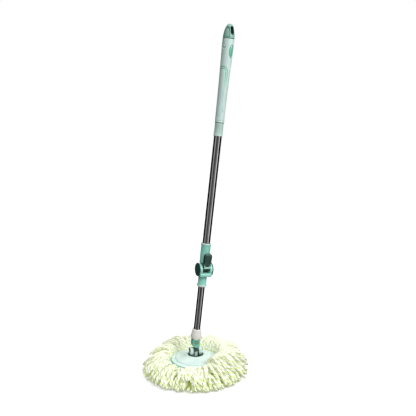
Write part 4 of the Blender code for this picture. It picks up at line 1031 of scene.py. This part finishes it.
def grip_relief(turn, height):
    """How far the grip's surface lies below its plain taper."""
    radius = grip_radius(height)
    outer = panel_distance(turn, height, GRIP_TOP - 0.083, GRIP_BASE + 0.012, PANEL_HALF_ANGLE, 0.017)
    fade = 0.25 + 0.75 * smooth(GRIP_TOP - 0.17, GRIP_TOP - 0.10, height)
    depth = 0.0015 * bump(outer, 0.0013) * fade + 0.0004 * smooth(0.0, -0.002, outer)
    depth += 0.0009 * bump(outer + 0.0056, 0.0011) * fade
    hook = [Vector((math.radians(across) * radius, GRIP_TOP - below)) for across, below in HOOK]
    depth += 0.0016 * bump(path_distance(Vector((abs(turn) * radius, height)), hook), 0.0015)
    button = math.hypot(turn * radius / 0.0062, (height - GRIP_BASE - 0.042) / 0.0105)
    depth -= 0.0007 * smooth(1.0, 0.86, button) - 0.0005 * bump(button - 1.06, 0.07)
    depth += 0.0008 * bump(height - GRIP_BASE - 0.0052, 0.0007)
    return depth


def press_relief(bm, relief, outer_than):
    """Sink the outer skin of a turned piece by a relief given by turn from the front and height; paint
    shade in its deeper recesses and down its back.
    """
    groove = bm.verts.layers.float.new("groove")
    for vert in bm.verts:
        radius = vert.co.xy.length
        if radius > outer_than(vert.co.z):
            turn = math.atan2(vert.co.x, -vert.co.y)
            depth = relief(turn, vert.co.z)
            vert[groove] = max(smooth(0.0003, 0.0013, depth), 0.7 * smooth(SHADED_BACK_FROM, SHADED_BACK_TO, abs(turn)))
            vert.co.x *= (radius - depth) / radius
            vert.co.y *= (radius - depth) / radius


def slot_prism(half_width, half_height, depth, steps=16):
    """A prism along Y whose outline is a tall slot with round ends."""
    bm = bmesh.new()
    bmesh.ops.create_circle(bm, cap_ends=True, segments=2 * steps, radius=half_width)
    for vert in bm.verts:
        vert.co.y += math.copysign(half_height - half_width, vert.co.y)
    walls = bmesh.ops.extrude_face_region(bm, geom=bm.faces[:])
    moved = [item for item in walls["geom"] if isinstance(item, bmesh.types.BMVert)]
    bmesh.ops.translate(bm, vec=(0, 0, depth), verts=moved)
    bmesh.ops.translate(bm, vec=(0, 0, -depth / 2), verts=bm.verts)
    bmesh.ops.rotate(bm, cent=(0, 0, 0), matrix=Matrix.Rotation(math.pi / 2, 3, "X"), verts=bm.verts)
    bmesh.ops.recalc_face_normals(bm, faces=bm.faces)
    return bm


class SPINMOP_OT_grip(bpy.types.Operator):
    """Finish the ferrule, the grip, its inset and the end cap"""
    bl_idname = "spinmop.grip"
    bl_label = "Grip and end cap"

    def execute(self, context):
        plastics = context.scene.spinmop_plastics
        # painted shade: the grip takes teal in its deeper recesses and down its back, the cap takes dark
        # green
        pale = moulded("grip_moulding", plastics.grip, 0.36, tone=0.05, gloss_coat=0.1,
                       groove=plastics.teal)
        capped = moulded("cap_moulding", plastics.cap, 0.34, tone=0.08, groove=plastics.dark_green)
        self.ferrule(moulded("sage_moulding", plastics.sage, 0.34, tone=0.08))
        soften_node("groove_ring", 0.0003, stock(context, "dark_green_moulding"), "dark_green_plastic")
        self.grip(pale)
        self.inset(stock(context, "teal_moulding"))
        self.cap(capped)
        finish_nodes(plated_steel(context), "grip_screw")
        return {"FINISHED"}

    def ferrule(self, material):
        """The lower sleeve, flared at its mouth."""
        low, high = box_in("grip_ferrule", GRIP)
        reach, base, top = high.x, low.z, high.z
        bore = box_in("outer_tube", GRIP)[1].x + 0.0003
        outline = (near(bore, base, (0, 4), (4, 0))
                   + near(reach, base, (2, 0), (8, 6), (8, 22), (2, 32), (-2, 46), (-6, 180))
                   + near(reach, top, (-8, -60), (-3, -42), (-3, -10), (-8, 0)) + [(bore, top)])
        add_piece("ferrule_shell", turned(outline), GRIP, material, "upper_pole", "sage_plastic",
                  "grip_ferrule", wrapped=True)

    def grip(self, material):
        """The tapered grip with its side panels, hooked grooves and a blank oval button."""
        rings = 250
        bore = box_in("outer_tube", GRIP)[1].x + 0.0003
        heights = [GRIP_BASE + (GRIP_TOP - GRIP_BASE) * ring / rings for ring in range(rings + 1)]
        outline = [(grip_radius(height), height) for height in heights[1:-1]]
        outline = ([(bore, GRIP_BASE), (grip_radius(GRIP_BASE) - 0.0004, GRIP_BASE)] + outline
                   + [(GRIP_R_TOP - 0.0004, GRIP_TOP), (bore - 0.001, GRIP_TOP),
                      (bore - 0.001, GRIP_TOP - 0.02), (bore, GRIP_TOP - 0.031)])
        bm = turned(outline, 144)
        press_relief(bm, grip_relief, lambda height: grip_radius(height) - 0.0006)
        low, high = box_in("grip_inset", GRIP)
        pocket = slot_prism(1.0, 1.0001, 0.02, 24)
        half = (high - low) / 2
        bmesh.ops.scale(pocket, vec=(half.x + 0.0004, 1, half.z + 0.0004), verts=pocket.verts)
        centre = (low + high) / 2
        bmesh.ops.translate(pocket, vec=(0, high.y - 0.0102, centre.z), verts=pocket.verts)
        add_piece("grip_shell", cut(bm, pocket), GRIP, material, "upper_pole", "pale_mint_plastic",
                  "grip_body", wrapped=True)

    def inset(self, material):
        """The oval inset: a crowned pad with a sunk rim, wrapped onto the grip."""
        low, high = box_in("grip_inset", GRIP)
        half = (high - low) / 2
        centre = (low + high) / 2
        outline = [(0, -0.0026), (0.99, -0.0026), (1.0, -0.0004), (0.97, 0.0001), (0.90, 0.0003),
                   (0.84, 0.0000), (0.80, -0.0001), (0.74, 0.0003), (0.55, 0.0007), (0.28, 0.0009),
                   (0, 0.0010)]
        bm = turned(outline, 72)
        for vert in bm.verts:
            height = centre.z + vert.co.y * half.z
            radius = grip_radius(height) + vert.co.z
            turn = math.asin(max(-1.0, min(1.0, vert.co.x * half.x / radius)))
            vert.co = (radius * math.sin(turn), -radius * math.cos(turn), height)
        bmesh.ops.recalc_face_normals(bm, faces=bm.faces)
        add_piece("inset_pad", bm, GRIP, material, "upper_pole", "teal_plastic", "grip_inset")

    def cap(self, material):
        """The domed cap with its side arches and the rounded hanging hole."""
        low, high = box_in("end_cap", GRIP)
        base = GRIP_TOP + 0.0003
        height = high.z - base
        reach = high.x
        rings = 84
        outline = [(0, low.z), (0.0117, low.z), (0.0117, base)]
        for ring in range(rings + 1):
            share = math.sin(math.pi / 2 * ring / rings)
            outline.append((reach * max(0.0, 1 - share ** CAP_DOME) ** CAP_SHOULDER,
                            base + height * share))
        bm = turned(outline, 144)
        hole = base + 0.0249

        def relief(turn, level):
            radius = reach * (1 - ((level - base) / height) ** CAP_DOME) ** CAP_SHOULDER
            across = math.remainder(abs(turn) - SIDE_PANEL, 2 * math.pi) * radius / 0.0105
            up = (level - base - 0.006) / 0.027
            edge = (math.hypot(across, max(0.0, up)) - 1) * 0.0105
            if up < 0:
                edge = max(edge, -up * 0.027)
            depth = 0.0014 * bump(edge, 0.0012) + 0.0003 * smooth(0.0, -0.003, edge)
            beyond = max(0.0, abs(level - hole) - 0.006)
            rim = math.hypot(math.sin(turn) * radius, beyond) - 0.006
            depth += 0.0016 * smooth(0.0026, 0.0, rim) * (abs(math.cos(turn)) > 0.3)
            return depth + 0.0013 * bump(level - base - 0.0008, 0.0012)

        press_relief(bm, relief, lambda level: 0.003 if level > base + 0.0001 else 1.0)
        slot = slot_prism(HOLE_HALF_WIDTH, HOLE_HALF_HEIGHT, 0.08)
        bmesh.ops.translate(slot, vec=(0, 0, hole), verts=slot.verts)
        shell = cut(bm, slot)
        # painted shade: the walls of the hanging hole are tinted dark green
        groove = shell.verts.layers.float["groove"]
        for vert in shell.verts:
            if abs(vert.co.x) < 0.0061 and abs(vert.co.z - hole) < 0.0121:
                vert[groove] = 1.0
        add_piece("cap_shell", shell, GRIP, material, "upper_pole", "sage_plastic", "end_cap",
                  wrapped=True)


# ---------------------------------------------------------------- stage

def studio_world(stage):
    """White to the camera; to the mop, a bright ceiling over a dim room with soft tall panels."""
    world = bpy.data.worlds.new("studio")
    bpy.context.scene.world = world
    world.use_nodes = True
    tree = world.node_tree
    tree.nodes.clear()
    split = parts_of(tree, place_on(tree, "Generated"))
    around = maths(tree, "ARCTAN2", split["X"], times(tree, split["Y"], -1.0))
    behind = maths(tree, "SUBTRACT", around, stage.heading)
    turn = maths(tree, "FRACT", maths(tree, "DIVIDE", behind, 2 * math.pi))
    ramp = put(tree, "ShaderNodeValToRGB", {"Fac": turn})
    panels = ((0.0, 0.10), (0.03, 0.24), (0.07, 0.20), (0.10, 0.12), (0.125, 1.1), (0.165, 1.0),
              (0.18, 0.0), (0.26, 0.0), (0.42, 0.0), (0.45, 0.8), (0.49, 0.9), (0.51, 0.0),
              (0.77, 0.0), (0.80, 0.05), (0.83, 0.50), (0.88, 0.42), (0.905, 0.08), (0.98, 0.06))
    while len(ramp.color_ramp.elements) < len(panels):
        ramp.color_ramp.elements.new(0.5)
    for element, (place, light) in zip(ramp.color_ramp.elements, panels):
        element.position = place
        element.color = (light, light, light, 1.0)
    ceiling = remap(tree, split["Z"], 0.25, 0.75)
    room = mixed(tree, ceiling, ramp.outputs["Color"], (1.3, 1.3, 1.3))
    camera_ray = put(tree, "ShaderNodeLightPath").outputs["Is Camera Ray"]
    seen = mixed(tree, camera_ray, room, (1.0, 1.0, 1.0))
    background = put(tree, "ShaderNodeBackground", {"Color": seen, "Strength": 1.0})
    output = put(tree, "ShaderNodeOutputWorld")
    tree.links.new(background.outputs["Background"], output.inputs["Surface"])


def soft_light(name, location, target, size, energy):
    light = bpy.data.lights.new(name, "AREA")
    light.shape = "RECTANGLE"
    light.size, light.size_y = size
    light.energy = energy
    holder = new_object(name, light)
    holder.location = location
    holder.rotation_euler = (Vector(target) - Vector(location)).to_track_quat("-Z", "Y").to_euler()
    return holder


class SPINMOP_OT_stage(bpy.types.Operator):
    """Make the floor, the lights and the camera"""
    bl_idname = "spinmop.stage"
    bl_label = "Stage"

    def execute(self, context):
        stage = context.scene.spinmop_stage
        toward = Vector((math.sin(stage.heading), -math.cos(stage.heading), 0))
        right = Vector((-toward.y, toward.x, 0))
        self.camera(stage, toward, right)
        self.floor(stage)
        studio_world(stage)
        soft_light("key", toward * 1.2 + right * 1.5 + Vector((0, 0, 1.7)), (0, 0, 0.3), (1.0, 1.0),
                   32 * stage.key)
        fill = soft_light("fill", toward * 1.7 - right * 0.6 + Vector((0, 0, 0.9)), (0, 0, 0.5),
                          (0.9, 0.9), 4 * stage.key)
        fill.visible_glossy = False
        context.scene.view_settings.view_transform = "Standard"
        return {"FINISHED"}

    def camera(self, stage, toward, right):
        lens = bpy.data.cameras.new("camera")
        lens.lens = stage.lens
        lens.sensor_width = 36.0
        camera = new_object("camera", lens)
        camera.location = toward * stage.distance + right * stage.aside + Vector((0, 0, stage.height))
        aim = -toward * math.cos(stage.pitch) - Vector((0, 0, math.sin(stage.pitch)))
        camera.rotation_euler = aim.to_track_quat("-Z", "Y").to_euler()
        bpy.context.scene.camera = camera

    def floor(self, stage):
        material, tree, shader = new_material("pale_floor")
        tone = remap(tree, grain_of(tree, place_on(tree), 30.0, 4.0), 0.3, 0.7)
        tree.links.new(mixed(tree, tone, scaled(stage.floor, 0.985), stage.floor),
                       shader.inputs["Base Color"])
        shader.inputs["Roughness"].default_value = 0.8
        shader.inputs["Specular IOR Level"].default_value = 0.1
        shader.inputs["Emission Color"].default_value = (1.0, 1.0, 1.0, 1.0)
        shader.inputs["Emission Strength"].default_value = 0.32
        bm = bmesh.new()
        bmesh.ops.create_circle(bm, cap_ends=True, segments=128, radius=6.0)
        mesh = new_mesh("floor", bm)
        mesh.materials.append(material)
        floor = new_object("floor", mesh)
        floor.visible_glossy = False
        floor.visible_diffuse = False


# ---------------------------------------------------------------- panel and start

PIECE_OPERATORS = (SPINMOP_OT_strands, SPINMOP_OT_plate, SPINMOP_OT_neck, SPINMOP_OT_tubes,
                   SPINMOP_OT_lock, SPINMOP_OT_grip)
SETTINGS = {"spinmop_yarn": SpinMopYarn, "spinmop_plastics": SpinMopPlastics,
            "spinmop_steel": SpinMopSteel, "spinmop_stage": SpinMopStage}


class SPINMOP_PT_panel(bpy.types.Panel):
    """The mop's settings and the operators that build it"""
    bl_idname = "SPINMOP_PT_panel"
    bl_label = "Spin Mop"
    bl_space_type = "VIEW_3D"
    bl_region_type = "UI"
    bl_category = "Spin Mop"

    def draw(self, context):
        for name, group in SETTINGS.items():
            box = self.layout.box()
            box.label(text=group.__doc__)
            for setting in group.__annotations__:
                box.prop(getattr(context.scene, name), setting)
        for operator in (SPINMOP_OT_stage, *PIECE_OPERATORS):
            self.layout.operator(operator.bl_idname)


CLASSES = (*SETTINGS.values(), SPINMOP_OT_stage, *PIECE_OPERATORS, SPINMOP_PT_panel)


def register():
    for item in CLASSES:
        bpy.utils.register_class(item)
    for name, group in SETTINGS.items():
        setattr(bpy.types.Scene, name, PointerProperty(type=group))


def unregister():
    for name in SETTINGS:
        delattr(bpy.types.Scene, name)
    for item in reversed(CLASSES):
        bpy.utils.unregister_class(item)


def main():
    register()
    bpy.ops.spinmop.stage()
    bpy.ops.spinmop.strands()
    bpy.ops.spinmop.plate()
    bpy.ops.spinmop.neck()
    bpy.ops.spinmop.tubes()
    bpy.ops.spinmop.lock()
    bpy.ops.spinmop.grip()


if __name__ == "__main__":
    main()
